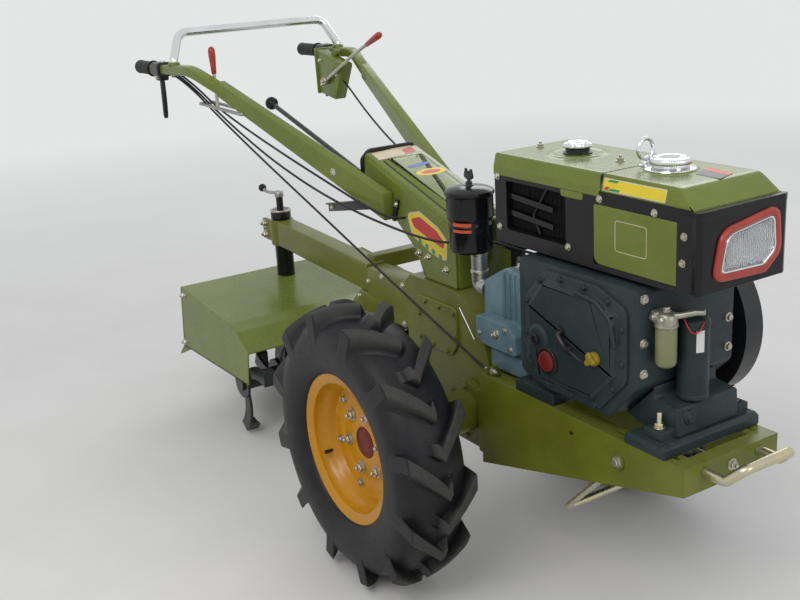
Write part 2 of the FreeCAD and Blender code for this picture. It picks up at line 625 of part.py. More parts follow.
blackPlug = rod("BlackPlug", "14", "12", ("321", "-crankcaseHalf - coverThick - 12", "602"), "y")
yellowPlug = rod("YellowPlug", "15", "18", ("489", "-crankcaseHalf - coverThick - 18", "604"), "y")
node(gearCover, "gear_cover")
node(grouped("EnginePlugs", [redPlug, blackPlug, yellowPlug]), "engine_plugs")
head = padded("Head", "XZ_Plane", [
    ("headRear", "headLow + 30"), ("headRear + 30", "headLow"), ("crankcaseRear", "headLow"),
    ("crankcaseRear", "headTop + 40"), ("headRear + 70", "headTop + 40"), ("headRear", "headTop")],
    "headHalf * 2", midplane=True)
node(head, "cylinder_head")
rearFeet = [box("RearFoot%d" % i, ("rearFootRear", low, "frameTop"), ("rearFootFront", high, "footTop"))
            for i, (low, high) in enumerate((("-frameHalf + 4", "-frameHalf + 54"), ("frameHalf - 54", "frameHalf - 4")))]
rearWeb = box("RearWeb", ("rearFootRear + 40", "-frameHalf + 20", "footTop - 8"),
              ("rearFootFront - 5", "frameHalf - 20", "crankcaseLow"))
frontFoot = box("FrontFoot", ("footRear", "-frameHalf - 4", "frameTop"), ("footFront", "frameHalf + 4", "footTop"))
frontWeb = padded("FrontWeb", "XZ_Plane", [
    ("footRear - 10", "footTop"), ("footFront - 12", "footTop"), ("footFront - 16", "528"),
    ("crankcaseFront", "534"), ("crankcaseFront", "crankcaseLow + 80"), ("crankcaseFront - 80", "crankcaseLow")],
    "crankcaseHalf * 1.3", midplane=True)
node(grouped("EngineFeet", [fused("RearFeet", rearFeet + [rearWeb]), fused("FrontFeet", [frontFoot, frontWeb])]),
     "engine_feet")
can = rod("Can", "31", "160", ("612", "-18", "534 + seat"))
node(can, "side_canister")
node(box("FilterHead", ("crankcaseFront", "-100", "684"), ("crankcaseFront + 46", "-58", "716")), "filter_head")
node(rod("FilterBowl", "20", "80", ("crankcaseFront + 24", "-80", "603.7")), "filter_bowl")

flywheelShape = turnedShape([
    (s.crankShaft, s.flywheelInner), (s.flywheelRadius, s.flywheelInner),
    (s.flywheelRadius, s.flywheelInner + s.flywheelWide), (s.flywheelRadius - 28, s.flywheelInner + s.flywheelWide),
    (s.flywheelRadius - 34, s.flywheelInner + 20), (s.enginePulleyRadius + 12, s.flywheelInner + 18),
    (s.enginePulleyRadius + 4, s.flywheelInner + s.flywheelWide),
    (s.crankShaft, s.flywheelInner + s.flywheelWide)],
    Vector(s.crankX, 0, s.crankZ), Vector(0, 1, 0))


def pulleyShape(centre, radius, start, bore):
    """A pulley with a V groove for each belt, from its inner face outwards."""
    corners = [(bore, start), (radius, start)]
    edge = (s.pulleyWide - s.beltPitch * (s.beltCount - 1)) / 2
    for i in range(int(s.beltCount)):
        middle = start + edge + s.beltPitch * i
        corners += [(radius, middle - s.beltWide / 2 - 1), (radius - s.beltThick - 1, middle - s.beltWide / 4),
                    (radius - s.beltThick - 1, middle + s.beltWide / 4), (radius, middle + s.beltWide / 2 + 1)]
    corners += [(radius, start + s.pulleyWide), (bore, start + s.pulleyWide)]
    return turnedShape(corners, centre, Vector(0, 1, 0))


pulleyStart = s.flywheelInner + s.flywheelWide
crankNose = Part.makeCylinder(s.crankShaft, pulleyStart + s.pulleyWide + 8 - s.crankcaseHalf - s.running,
                              Vector(s.crankX, s.crankcaseHalf + s.running, s.crankZ), Vector(0, 1, 0))
node(feature("Flywheel", flywheelShape.multiFuse([
    pulleyShape(Vector(s.crankX, 0, s.crankZ), s.enginePulleyRadius, pulleyStart, s.crankShaft), crankNose])), "flywheel")

clutchPulley = pulleyShape(Vector(s.clutchX, 0, s.clutchZ), s.clutchRadius, pulleyStart, s.crankShaft + s.running)
node(feature("ClutchPulley", clutchPulley), "clutch_pulley")


def beltShape(index):
    """One V-belt round both pulleys: two arcs and two tangent runs."""
    y = pulleyStart + (s.pulleyWide - s.beltPitch * (s.beltCount - 1)) / 2 + s.beltPitch * index
    middle = s.beltThick / 2 - 0.3
    big = s.clutchRadius - middle
    small = s.enginePulleyRadius - middle
    rear = Vector(s.clutchX, y, s.clutchZ)
    front = Vector(s.crankX, y, s.crankZ)
    along = front - rear
    lean = math.atan2(along.z, along.x)
    open_ = math.acos((big - small) / along.Length)

    def spot(centre, radius, angle):
        return centre + Vector(math.cos(angle), 0, math.sin(angle)) * radius

    top, bottom = lean + open_, lean - open_
    path = Part.Wire([
        Part.makeLine(spot(rear, big, top), spot(front, small, top)),
        Part.Arc(spot(front, small, top), spot(front, small, lean), spot(front, small, bottom)).toShape(),
        Part.makeLine(spot(front, small, bottom), spot(rear, big, bottom)),
        Part.Arc(spot(rear, big, bottom), spot(rear, big, lean + math.pi), spot(rear, big, top)).toShape()])
    outward = Vector(math.cos(top), 0, math.sin(top))
    here = spot(rear, big, top)
    out = s.beltWide / 2 + 0.3
    inn = s.beltWide / 2 - 3.2
    half = s.beltThick / 2 - 0.4
    ring = Part.makePolygon([here + outward * a + Vector(0, b, 0) for a, b in (
        (half, -out), (half, out), (-half, inn), (-half, -inn), (half, -out))])
    return path.makePipeShell([ring], True, False)


node(feature("DriveBelts", Part.makeCompound([beltShape(i) for i in range(int(s.beltCount))])), "drive_belts")

# Hood, tank and front
hoodCorners = [("hoodHalf", "hoodLip"), ("hoodHalf", "hoodShoulder"), ("hoodHalf - hoodBevel", "hoodTop"),
               ("hoodBevel - hoodHalf", "hoodTop"), ("-hoodHalf", "hoodShoulder"), ("-hoodHalf", "hoodLip")]
hoodCover = padded("HoodCover", "YZ_Plane", hoodCorners, "hoodSeam - 2 - hoodRear", away="hoodRear")
coverHollow = box("CoverHollow", ("hoodRear + tankWall", "hoodBevel + tankWall - hoodHalf", "hoodLip - 1"),
                  ("hoodSeam - 2 - tankWall", "hoodHalf - hoodBevel - tankWall", "hoodTop - tankWall"))
node(cutOut("RadiatorCover", hoodCover, [coverHollow]), "radiator_cover")
radiatorBody = fused("RadiatorBlank", [
    box("RadiatorBody", ("hoodRear + 4", "3 - hoodHalf", "hoodLow"), ("hoodSeam - 24", "hoodHalf - 3", "hoodLip")),
    box("RadiatorFoot", ("crankcaseRear + 6", "-78", "crankcaseTop"), ("hoodSeam - 24", "78", "hoodLow + 10"))])
sideHollow = [box("SideHollow%d" % i, ("hoodRear + 40", low, "hoodLow + 28"), ("hoodSeam - 104", high, "hoodLip - 12"))
              for i, (low, high) in enumerate((("-hoodHalf", "20 - hoodHalf"), ("hoodHalf - 20", "hoodHalf")))]
radiatorHollow = box("RadiatorHollow", ("hoodRear + 50", "26 - hoodHalf", "hoodLow + 8"),
                     ("hoodSeam - 32", "hoodHalf - 26", "hoodLip - 8"))
radiatorFiller = rod("RadiatorFiller", "capRadius - 10", "30", ("radiatorCapX", "0", "hoodLip - 20"))
node(cutOut("Radiator", radiatorBody, sideHollow + [radiatorHollow, radiatorFiller]), "radiator")
tank = padded("Tank", "XZ_Plane", [
    ("hoodSeam", "hoodLip"), ("hoodFront", "hoodLip"), ("hoodFront", "hoodShoulder - 4"),
    ("hoodFront - hoodFrontRun", "hoodTop"), ("hoodSeam", "hoodTop")], "hoodHalf * 2", midplane=True)
tankBevel = padded("TankBevel", "YZ_Plane", hoodCorners, "hoodFront - hoodSeam", away="hoodSeam")
tankTop = doc.addObject("Part::MultiCommon", "TankTop")
tankTop.Shapes = [tank, tankBevel]
tankBelly = box("TankBelly", ("hoodSeam - 20", "4 - hoodHalf", "hoodLow + 12"),
                ("hoodPanelFront - 2", "hoodHalf - 4", "hoodLip"))
tankBack = box("TankBack", ("hoodSeam - 20", "-hoodHalf", "hoodLow"), ("hoodSeam", "hoodHalf", "hoodLip"))
tankHollow = box("TankHollow", ("hoodSeam + tankWall", "tankWall + hoodBevel - hoodHalf", "hoodLow + 12 + tankWall"),
                 ("hoodPanelFront - 8", "hoodHalf - tankWall - hoodBevel", "hoodTop - tankWall"))
tankBlank = fused("TankBlank", [tankTop, cutOut("Belly", tankBelly, [tankBack])])
tankFiller = rod("TankFiller", "capRadius - 10", "20", ("fuelCapX", "0", "hoodTop - 15"))
node(cutOut("FuelTank", tankBlank, [tankHollow, tankFiller]), "fuel_tank")
fasciaCup = padded("FasciaCup", "XY_Plane", [
    ("hoodPanelFront", "-hoodHalf"), ("hoodFront - 4", "-hoodHalf"), ("hoodFront + fasciaDeep - 4", "-fasciaHalf"),
    ("hoodFront + fasciaDeep", "8 - fasciaHalf"), ("hoodFront + fasciaDeep", "fasciaHalf - 8"),
    ("hoodFront + fasciaDeep - 4", "fasciaHalf"), ("hoodFront - 4", "hoodHalf"), ("hoodPanelFront", "hoodHalf")],
    "hoodLip - fasciaLow", away="fasciaLow")
fasciaLip = padded("FasciaLip", "XY_Plane", [
    ("hoodFront + seat", "5 - fasciaHalf"), ("hoodFront + fasciaDeep - 4", "-fasciaHalf"),
    ("hoodFront + fasciaDeep", "8 - fasciaHalf"), ("hoodFront + fasciaDeep", "fasciaHalf - 8"),
    ("hoodFront + fasciaDeep - 4", "fasciaHalf"), ("hoodFront + seat", "fasciaHalf - 5")],
    "lipDrop - lipBelow + 2", away="hoodLip - 2")
fasciaHollow = box("FasciaHollow", ("hoodPanelFront - 1", "fasciaSheet - hoodHalf", "fasciaLow + fasciaSheet"),
                   ("hoodFront + fasciaDeep - fasciaSheet", "hoodHalf - fasciaSheet", "hoodLip - fasciaSheet"))
node(cutOut("Fascia", fused("FasciaBlank", [fasciaCup, fasciaLip]), [fasciaHollow]), "fascia")
lampFront = s.hoodFront + s.fasciaDeep + s.seat


def roundedLoop(points, radii):
    """A closed outline whose corners are rounded by tangent arcs."""
    count = len(points)
    ends = []
    edges = []
    for i, (corner, radius) in enumerate(zip(points, radii)):
        into = (corner - points[i - 1]).normalize()
        out = (points[(i + 1) % count] - corner).normalize()
        half = into.getAngle(out) / 2
        reach = radius * math.tan(half)
        start = corner - into * reach
        end = corner + out * reach
        middle = corner + (out - into).normalize() * (radius / math.cos(half) - radius)
        ends.append((start, end))
        edges.append(Part.Arc(start, middle, end).toShape())
    for i in range(count):
        edges.append(Part.makeLine(ends[i - 1][1], ends[i][0]))
    return Part.Wire(Part.__sortEdges__(edges))


# the lamp's corners as shares of its half sizes, and the radius of each
LAMP_CORNERS = [(-1.0, -0.9, 24), (-0.78, 0.62, 40), (0.9, 1.0, 26), (1.0, -0.45, 34), (0.55, -1.0, 24)]


def lampOutline(x, shrink):
    """A rounded leaf, high and wide at its outer top corner."""
    a = s.lampHalfWide - shrink
    b = s.lampHalfTall - shrink
    points = [Vector(x, s.lampY + a * u, hoodShoulder - s.lampDrop + b * v) for u, v, radius in LAMP_CORNERS]
    return roundedLoop(points, [max(radius - shrink, 8) for u, v, radius in LAMP_CORNERS])


lampRing = Part.Face(lampOutline(lampFront, 0)).extrude(Vector(7, 0, 0))
lampHole = Part.Face(lampOutline(lampFront - 1, s.lampRim)).extrude(Vector(12, 0, 0))
node(feature("LampSurround", lampRing.cut(lampHole)), "lamp_surround")
node(feature("LampLens", Part.Face(lampOutline(lampFront, s.lampRim + s.seat)).extrude(Vector(10, 0, 0))), "lamp_lens")
capBoss = rod("RadiatorNeck", "capRadius - 8", "10", ("radiatorCapX", "0", "hoodTop"))
capTop = rod("RadiatorCapTop", "capRadius - 3", "11", ("radiatorCapX", "0", "hoodTop + 10"))
node(fused("RadiatorCap", [capBoss, capTop]), "radiator_cap")
fuelBoss = rod("FuelNeck", "capRadius", "8", ("fuelCapX", "0", "hoodTop"))
fuelTop = rod("FuelCapTop", "capRadius + 4", "13", ("fuelCapX", "0", "hoodTop + 8"))
node(fused("FuelCap", [fuelBoss, fuelTop]), "fuel_cap")
eyeX = s.hoodSeam + s.eyeAhead
eyeRing = Part.makeTorus(s.eyeRadius, 4, Vector(eyeX, 0, hoodTop + s.eyeRadius + 10), Vector(1, 0, 0))
eyeFoot = Part.makeCylinder(9, 10, Vector(eyeX, 0, hoodTop))
node(feature("LiftingEye", eyeRing.fuse(eyeFoot)), "lifting_eye")

# Air cleaner and silencer
cleaner = turned("Cleaner", "XZ_Plane", [
    ("0", "cleanerLow"), ("cleanerRadius - 8", "cleanerLow"), ("cleanerRadius - 4", "cleanerLow + 8"),
    ("cleanerRadius - 4", "cleanerLow + 74"), ("cleanerRadius", "cleanerLow + 80"), ("cleanerRadius", "cleanerTop - 22"),
    ("cleanerRadius + 3", "cleanerTop - 20"), ("cleanerRadius + 3", "cleanerTop - 12"),
    ("cleanerRadius - 10", "cleanerTop"), ("0", "cleanerTop")])
bind(cleaner, "Placement.Base.x", "cleanerX")
bind(cleaner, "Placement.Base.y", "cleanerY")
node(cleaner, "air_cleaner")
intakeX = s.headRear - 32
intake = bentRod([Vector(intakeX, -76, s.cleanerLow - s.seat), Vector(intakeX, -76, s.headTop - 22),
                  Vector(s.headRear - s.seat, -76, s.headTop - 22)], 19, 26)
node(feature("IntakePipe", intake), "intake_pipe")
mufflerX = s.headRear - 52
exhaustZ = s.headTop - 24
exhaust = bentRod([Vector(s.headRear - s.seat, 50, exhaustZ), Vector(mufflerX, 50, exhaustZ),
                   Vector(mufflerX, 50, s.headTop + 40)], 17, 26)
mufflerCan = turnedShape([(0, 0), (30, 0), (40, 12), (40, 148), (30, 160), (16, 160), (16, 196), (13, 196), (13, 160),
                          (0, 160)], Vector(mufflerX, 50, s.headTop + 38), Vector(0, 0, 1))
node(feature("Muffler", exhaust.fuse(mufflerCan)), "muffler")

# Console between the handlebars, on the gearbox
console = padded("ConsoleBody", "XZ_Plane", [
    ("consoleRear", "consoleRearTop - 20"), ("consoleRear + 18", "consoleRearTop"),
    ("consoleFront", "consoleFrontTop"), ("consoleFront", "consoleFoot"), ("-200", "consoleFoot"),
    ("kneeX", "kneeZ"), ("heelX", "heelZ"), ("consoleRear", "heelZ + 48")], "consoleHalf * 2", midplane=True)
consoleHollow = padded("ConsoleHollow", "XZ_Plane", [
    ("consoleRear + boxSheet", "consoleRearTop - 24"), ("consoleRear + 20", "consoleRearTop - boxSheet - 2"),
    ("consoleFront - boxSheet", "consoleFrontTop - boxSheet * 2"), ("consoleFront - boxSheet", "consoleFoot - 1"),
    ("boxSheet - 200", "consoleFoot - 1"), ("boxSheet + kneeX", "kneeZ + boxSheet"),
    ("heelX + 2", "heelZ + boxSheet + 2"), ("consoleRear + boxSheet", "heelZ + 48 + boxSheet")],
    "(consoleHalf - boxSheet) * 2", midplane=True)
sideWall = padded("SideWall", "XZ_Plane", [
    ("consoleRear + 14", "heelZ + 58"), ("consoleRear + 30", "consoleRearTop - 14"),
    ("consoleFront - 4", "consoleFrontTop - 10"), ("consoleFront - 4", "consoleFoot + 2"),
    ("-176", "consoleFoot + 2"), ("kneeX + 8", "kneeZ - 5"), ("heelX + 10", "heelZ - 4")], "consolePlate", away="consoleHalf")
consoleBlank = fused("ConsoleBlank", [console, sideWall, mirrored("SideWallLeft", sideWall)])
node(cutOut("Console", consoleBlank, [consoleHollow]), "console")


def handlebar():
    """The right bar: a deep box section, an elbow and a thin level tail."""
    front = Vector(s.barFrontX, -s.barFrontY, s.barFrontZ)
    step = Vector(s.barStepX, -s.barStepY, s.barStepZ)
    elbow = Vector(s.elbowX, -s.elbowY, s.elbowZ)
    start = Vector(s.gripStartX, -s.gripY, s.gripZ)
    deep = Part.makeLoft([crossSection(front, s.barWide, s.barFrontTall),
                          crossSection(step, s.barWide, s.barStepTall)], True, True)
    back = step + (front - step) * 0.06
    thin = Part.makeLoft([crossSection(back, s.tailWide, s.tailTall),
                          crossSection(elbow, s.tailWide, s.tailTall),
                          crossSection(start, s.tailWide, s.tailTall)], True, True)
    return deep.fuse(thin)


bar = node(feature("HandlebarRight", handlebar()), "handlebar_right")
node(mirrored("HandlebarLeft", bar), "handlebar_left")
gripFrom = Vector(s.gripStartX, -s.gripY, s.gripZ)
gripTo = Vector(s.gripEndX, -s.gripY, s.gripZ)
grip = node(feature("GripRight", Part.makeCylinder(s.gripRadius, (gripTo - gripFrom).Length, gripFrom + Vector(
    -s.seat, 0, 0), gripTo - gripFrom)), "grip_right")
node(mirrored("GripLeft", grip), "grip_left")


def tailZ(x):
    """Height of the thin tail's middle line at x."""
    along = (x - s.elbowX) / (s.gripStartX - s.elbowX)
    return s.elbowZ + (s.gripZ - s.elbowZ) * along


def tailY(x):
    """Distance of the thin tail's middle line from the middle plane at x."""
    along = (x - s.elbowX) / (s.gripStartX - s.elbowX)
    return s.elbowY + (s.gripY - s.elbowY) * along


railFoot = tailZ(s.railX) + s.tailTall / 2 + s.seat
railY = tailY(s.railX)
rail = bentRod([Vector(s.railX, -railY, railFoot), Vector(s.railX, -railY, railFoot + 12),
                Vector(s.railX - s.railLean, s.railInset - railY, s.railTop),
                Vector(s.railX - s.railLean, railY - s.railInset, s.railTop),
                Vector(s.railX, railY, railFoot + 12), Vector(s.railX, railY, railFoot)], s.railRod, s.railBend)
node(feature("Handrail", rail), "handrail")


def steeringLever():
    """A clamp round the right bar's tail with a lever hanging from it."""
    x = s.steerX
    z = tailZ(x)
    y = -tailY(x)
    clamp = Part.makeBox(56, s.tailWide + 18, s.tailTall + 16,
                         Vector(x - 28, y - s.tailWide / 2 - 9, z - s.tailTall / 2 - 8))
    hole = Part.makeBox(80, s.tailWide + 5, s.tailTall + 2,
                        Vector(x - 40, y - s.tailWide / 2 - 2.5, z - s.tailTall / 2 - 1))
    lever = prism([(x - 22, z - 22), (x + 4, z - 22), (x, z - 70), (x - 6, z - 150), (x - 18, z - 150),
                   (x - 20, z - 70)], y - 8, y + 8)
    return clamp.cut(hole).fuse(lever)


lever = node(feature("SteeringLeverRight", steeringLever()), "steering_lever_right")
node(mirrored("SteeringLeverLeft", lever), "steering_lever_left")
inner = s.elbowY - s.tailWide / 2 - 3
bracketBox = prism([(s.bracketRear, s.bracketTop), (s.bracketRear + 5, s.bracketLow + 18),
                    (s.bracketFront - 61, s.bracketLow), (s.bracketFront, s.bracketLow + 113)], inner - s.bracketWide, inner)
bossX = (s.bracketRear + s.bracketFront) / 2
bossEnd = tailY(bossX + 10) - s.tailWide / 2 - s.seat
boss = Part.makeCylinder(10, bossEnd - inner + 5, Vector(bossX, inner - 5, tailZ(bossX)), Vector(0, 1, 0))
node(feature("LeverBracket", bracketBox.fuse(boss)), "lever_bracket")
redRear = Vector(s.redRearX, s.redLeftY, s.redRearZ)
redTip = Vector(s.redTipX, s.redLeftY, s.redTipZ)
redLeft = bentRod([Vector(s.redPivotX, s.redLeftY, s.redPivotZ), redRear + (redRear - redTip),
                   redTip + (redRear - redTip) * 0.1], 5, 60)
redLeftGrip = Part.makeCylinder(10, (redTip - redRear).Length, redRear, redTip - redRear)
pivotLong = inner - s.bracketWide - s.seat - s.redLeftY + 9
redPivot = Part.makeCylinder(12, pivotLong, Vector(s.redPivotX, s.redLeftY - 9, s.redPivotZ), Vector(0, 1, 0))
node(feature("HandLeverLeft", redLeft.multiFuse([redLeftGrip, redPivot])), "hand_lever_left")


alongThin = (s.redRightX - s.barStepX) / (s.elbowX - s.barStepX)
redFoot = s.barStepZ + (s.elbowZ - s.barStepZ) * alongThin - s.redRightDrop
redY = s.tailWide / 2 + s.redRightGap - s.barStepY - (s.elbowY - s.barStepY) * alongThin


def redSpot(rise):
    """The point of the right hand lever's middle line at that rise above its foot."""
    return Vector(s.redRightX + s.redLean * rise, redY, redFoot + rise)


leanDirection = Vector(s.redLean, 0, 1)
redRight = Part.makeCylinder(5, 110, redSpot(0), leanDirection)
redRightGrip = Part.makeCylinder(10, 76, redSpot(92), leanDirection)
wireFar = redY + s.wireWide
wire = bentRod([Vector(s.wireRear, redY, redFoot - 2), Vector(s.wireFront, redY, redFoot - 9),
                Vector(s.wireFront, wireFar, redFoot - 9), Vector(s.wireRear, wireFar, redFoot - 2),
                Vector(s.wireRear, redY + 4, redFoot - 2)], 5, 12)
redPin = Part.makeCylinder(6, 20, redSpot(s.redRightDrop + 2) - Vector(0, 20, 0), Vector(0, 1, 0))
handLever = redRight.multiFuse([redRightGrip, wire, redPin]).cut(bar.Shape)
node(feature("HandLeverRight", max(handLever.Solids, key=lambda solid: solid.Volume)), "hand_lever_right")
shiftBoss = Part.makeCylinder(14, 14, Vector(s.shiftFootX, 0, s.consoleFoot + s.seat))
shift = bentRod([Vector(s.shiftFootX, 0, s.consoleFoot + 8), Vector(s.shiftBendX, 0, s.shiftBendZ),
                 Vector(s.shiftBallX, 0, s.shiftBallZ)], 7, 60)
ball = Part.makeSphere(s.ballRadius, Vector(s.shiftBallX, 0, s.shiftBallZ))
node(feature("GearLever", shift.multiFuse([ball, shiftBoss])), "gear_lever")
plateOut = s.consoleHalf + s.consolePlate + s.seat
ptoLever = prism([(-352, 773), (-640, 716), (-640, 692), (-352, 746)], -plateOut - 7.7, -plateOut)
node(feature("PtoLever", ptoLever), "pto_lever")

# Tiller: beam with the post clamp, gear case, cover and rotor
armShape = Part.makeLoft([
    crossSection(Vector(s.armRear, 0, s.armRearTop - s.armTall / 2), s.armHalf * 2, s.armTall),
    crossSection(Vector(s.armFront, 0, s.armFrontTop - s.armTall / 2), s.armHalf * 2, s.armTall)], True, True)
armMiddle = s.armRearTop - s.armTall / 2
collar = Part.makeCylinder(s.postRadius + s.clampWall, s.armTall, Vector(s.postX, 0, armMiddle - s.armTall / 2))
ears = Part.makeBox(s.earLong, 52, s.armTall - 12,
                    Vector(s.postX - s.postRadius - 4 - s.earLong, -26, armMiddle - s.armTall / 2 + 6))
bore = Part.makeCylinder(s.postRadius + s.running, 300, Vector(s.postX, 0, armMiddle - 150))
crossArm = Part.makeBox(40, 200, 42, Vector(s.armFront - 50, 0, s.armFrontTop - 26))
node(feature("TillerArm", armShape.multiFuse([collar, ears, crossArm]).cut(bore)), "tiller_arm")


def beamLow(x):
    """Height of the beam's underside at x."""
    along = (x - s.armFront) / (s.armRear - s.armFront)
    return s.armFrontTop + (s.armRearTop - s.armFrontTop) * along - s.armTall


caseRear = -262 - s.seat
seatRear = s.armFront - 40
caseShape = prism([(caseRear, 420), (caseRear, 540), (s.armFront + s.seat, 540),
                   (s.armFront + s.seat, beamLow(s.armFront) - s.seat), (seatRear, beamLow(seatRear) - s.seat),
                   (s.rotorX - 31, s.rotorZ + 34), (s.rotorX - 44, s.rotorZ), (s.rotorX - 28, s.rotorZ - 36),
                   (s.rotorX + 8, s.rotorZ - 46), (s.rotorX + 31, s.rotorZ - 34), (-529, 400)],
                  -s.caseHalf, s.caseHalf)
shaftBore = Part.makeCylinder(s.rotorTube + s.running, 200, Vector(s.rotorX, -100, s.rotorZ), Vector(0, 1, 0))
node(feature("TillerCase", caseShape.cut(shaftBore)), "tiller_case")


def inset(corners, by):
    """A convex outline's corners in X and Z, each edge moved inwards by the same distance."""
    count = len(corners)
    moved = []
    for i, (x, z) in enumerate(corners):
        into = Vector(x - corners[i - 1][0], 0, z - corners[i - 1][1]).normalize()
        out = Vector(corners[(i + 1) % count][0] - x, 0, corners[(i + 1) % count][1] - z).normalize()
        normalIn = Vector(-into.z, 0, into.x)
        normalOut = Vector(-out.z, 0, out.x)
        step = (normalIn + normalOut) * (by / (1 + normalIn.dot(normalOut)))
        moved.append((x + step.x, z + step.z))
    return moved


coverSide = [(s.coverRear, s.coverLowRear), (s.coverToe, s.coverLowFront), (s.coverFront, s.coverFrontZ),
             (s.coverRidgeX, s.coverRidgeTop), (s.coverBendX, s.coverBendTop), (s.coverBackX, s.coverBackTop)]
insideHalf = s.coverHalf - s.coverSheet
insideRear, insideToe, insideLip, insideRidge, insideBend, insideBack = inset(coverSide, s.coverSheet)
hollow = prism([insideRear, insideToe, insideLip, insideRidge, insideBend, insideBack], -insideHalf, insideHalf)
# the cover is open below, and in front below the lip of its front panel
mouth = prism([(insideRear[0], s.coverLowRear - 40), (s.coverFront + 20, s.coverLowRear - 40),
               (s.coverFront + 20, s.coverFrontZ - s.coverSheet), (insideLip[0] - 4, s.coverFrontZ - s.coverSheet),
               (s.coverToe - 30, s.coverLowFront + 30), (insideRear[0] + 8, s.coverLowRear + 30)], -insideHalf, insideHalf)
caseGap = s.caseHalf + s.seat
caseSlot = Part.makeBox(60, caseGap * 2, 200, Vector(s.coverFront - 50, -caseGap, s.coverLowFront + 20))
postHole = Part.makeCylinder(s.postRadius + s.seat, 120, Vector(s.postX, 0, s.coverBackTop - 60))
notch = Part.makeBox(80, s.notchHalf * 2, s.notchTop - 100, Vector(s.coverRear - 20, -s.notchHalf, 100))
coverShape = prism(coverSide, -s.coverHalf, s.coverHalf).cut(hollow).cut(mouth)
node(feature("TillerCover", coverShape.cut(caseSlot).cut(postHole).cut(notch)), "tiller_cover")


def tineShape():
    """A hooked tine: a shank that curves back, with a wide blade at its tip."""
    r = s.rotorRadius
    shank = Part.Wire([
        Part.makeLine(Vector(30, 0, -14), Vector(30, 0, 14)),
        Part.Arc(Vector(30, 0, 14), Vector(r * 0.66, 0, 2), Vector(r * 0.95, 0, -44)).toShape(),
        Part.makeLine(Vector(r * 0.95, 0, -44), Vector(r * 0.78, 0, -72)),
        Part.Arc(Vector(r * 0.78, 0, -72), Vector(r * 0.54, 0, -30), Vector(30, 0, -14)).toShape()])
    whole = Part.Face(shank)
    plate = whole.extrude(Vector(0, s.tineThick, 0))
    blade = whole.extrude(Vector(0, s.tineWide, 0)).common(
        turnedShape([(r * 0.84, -10), (r, -10), (r, 60), (r * 0.84, 60)], Vector(), Vector(0, 1, 0)))
    return plate.fuse(blade)


tine = tineShape()
rotorParts = []
for i in range(int(s.tineFlanges)):
    y = s.rotorInner + (s.rotorOuter - s.rotorInner) * (i // 2) / (s.tineFlanges / 2 - 1)
    y = y if i % 2 else -y
    rotorParts.append(Part.makeCylinder(46, 8, Vector(0, y - 4, 0), Vector(0, 1, 0)))
    for j in range(int(s.tinesEach)):
        one = tine.copy() if y < 0 else tine.mirror(Vector(), Vector(0, 1, 0))
        one.rotate(Vector(), Vector(0, 1, 0), 360 * j / s.tinesEach + 20 * i)
        one.translate(Vector(0, y + (4 if y < 0 else -4), 0))
        rotorParts.append(one)
rotorShaft = Part.makeCylinder(s.rotorTube, s.rotorHalf * 2, Vector(0, -s.rotorHalf, 0), Vector(0, 1, 0))
rotor = rotorShaft.multiFuse(rotorParts)
rotor.translate(Vector(s.rotorX, 0, s.rotorZ))
node(feature("Rotor", rotor), "rotor")

# Depth post with its crank, and the tail wheel
post = Part.makeCylinder(s.postRadius, s.postTop - s.postLow, Vector(s.postX, 0, s.postLow))
postCap = Part.makeCylinder(s.postRadius + 4, 27, Vector(s.postX, 0, s.postTop))
postNeck = Part.makeCylinder(s.neckRadius, s.neckTop - s.postTop, Vector(s.postX, 0, s.postTop))
postBore = Part.makeCylinder(s.stemRadius + s.running, s.boreTop - s.postLow + 10, Vector(s.postX, 0, s.postLow - 10))
node(feature("DepthPost", post.multiFuse([postCap, postNeck]).cut(postBore)), "depth_post")
tailZc = s.tailRadius
gap = s.tailWheelWide / 2 + s.clearance
forkOut = gap + s.forkPlate
forks = [prism([(s.tailX - 16, tailZc - 14), (s.tailX + 14, tailZc - 14), (s.postX + 26, s.stemFoot + 6),
                (s.postX - 26, s.stemFoot + 6)], a, b) for a, b in ((-forkOut, -gap), (gap, forkOut))]
bridge = Part.makeBox(56, forkOut * 2, 10, Vector(s.postX - 28, -forkOut, s.stemFoot - 2))
pin = Part.makeCylinder(s.pinRadius, forkOut * 2 + 8, Vector(s.tailX, -forkOut - 4, tailZc), Vector(0, 1, 0))
stem = Part.makeCylinder(s.stemRadius, s.stemTop - s.stemFoot, Vector(s.postX, 0, s.stemFoot))
node(feature("TailStem", stem.multiFuse(forks + [bridge, pin])), "tail_stem")
crankHub = Part.makeCylinder(14, 20, Vector(s.postX, 0, s.neckTop + s.seat))
crankStart = Vector(s.postX + 18, 0, s.neckTop + 8)
crankEnd = Vector(s.knobX, 0, s.knobZ)
crankArm = Part.makeCylinder(7, (crankEnd - crankStart).Length, crankStart, crankEnd - crankStart)
knob = Part.makeSphere(13, crankEnd)
node(feature("PostCrank", crankHub.multiFuse([crankArm, knob])), "post_crank")
tailWheel = turnedShape([(s.pinRadius + s.running, -s.tailWheelWide / 2), (s.tailRadius - 14, -s.tailWheelWide / 2),
                         (s.tailRadius, -s.tailWheelWide / 2 + 12), (s.tailRadius, s.tailWheelWide / 2 - 12),
                         (s.tailRadius - 14, s.tailWheelWide / 2), (s.pinRadius + s.running, s.tailWheelWide / 2)],
                        Vector(s.tailX, 0, tailZc), Vector(0, 1, 0))
node(feature("TailWheel", tailWheel), "tail_wheel")

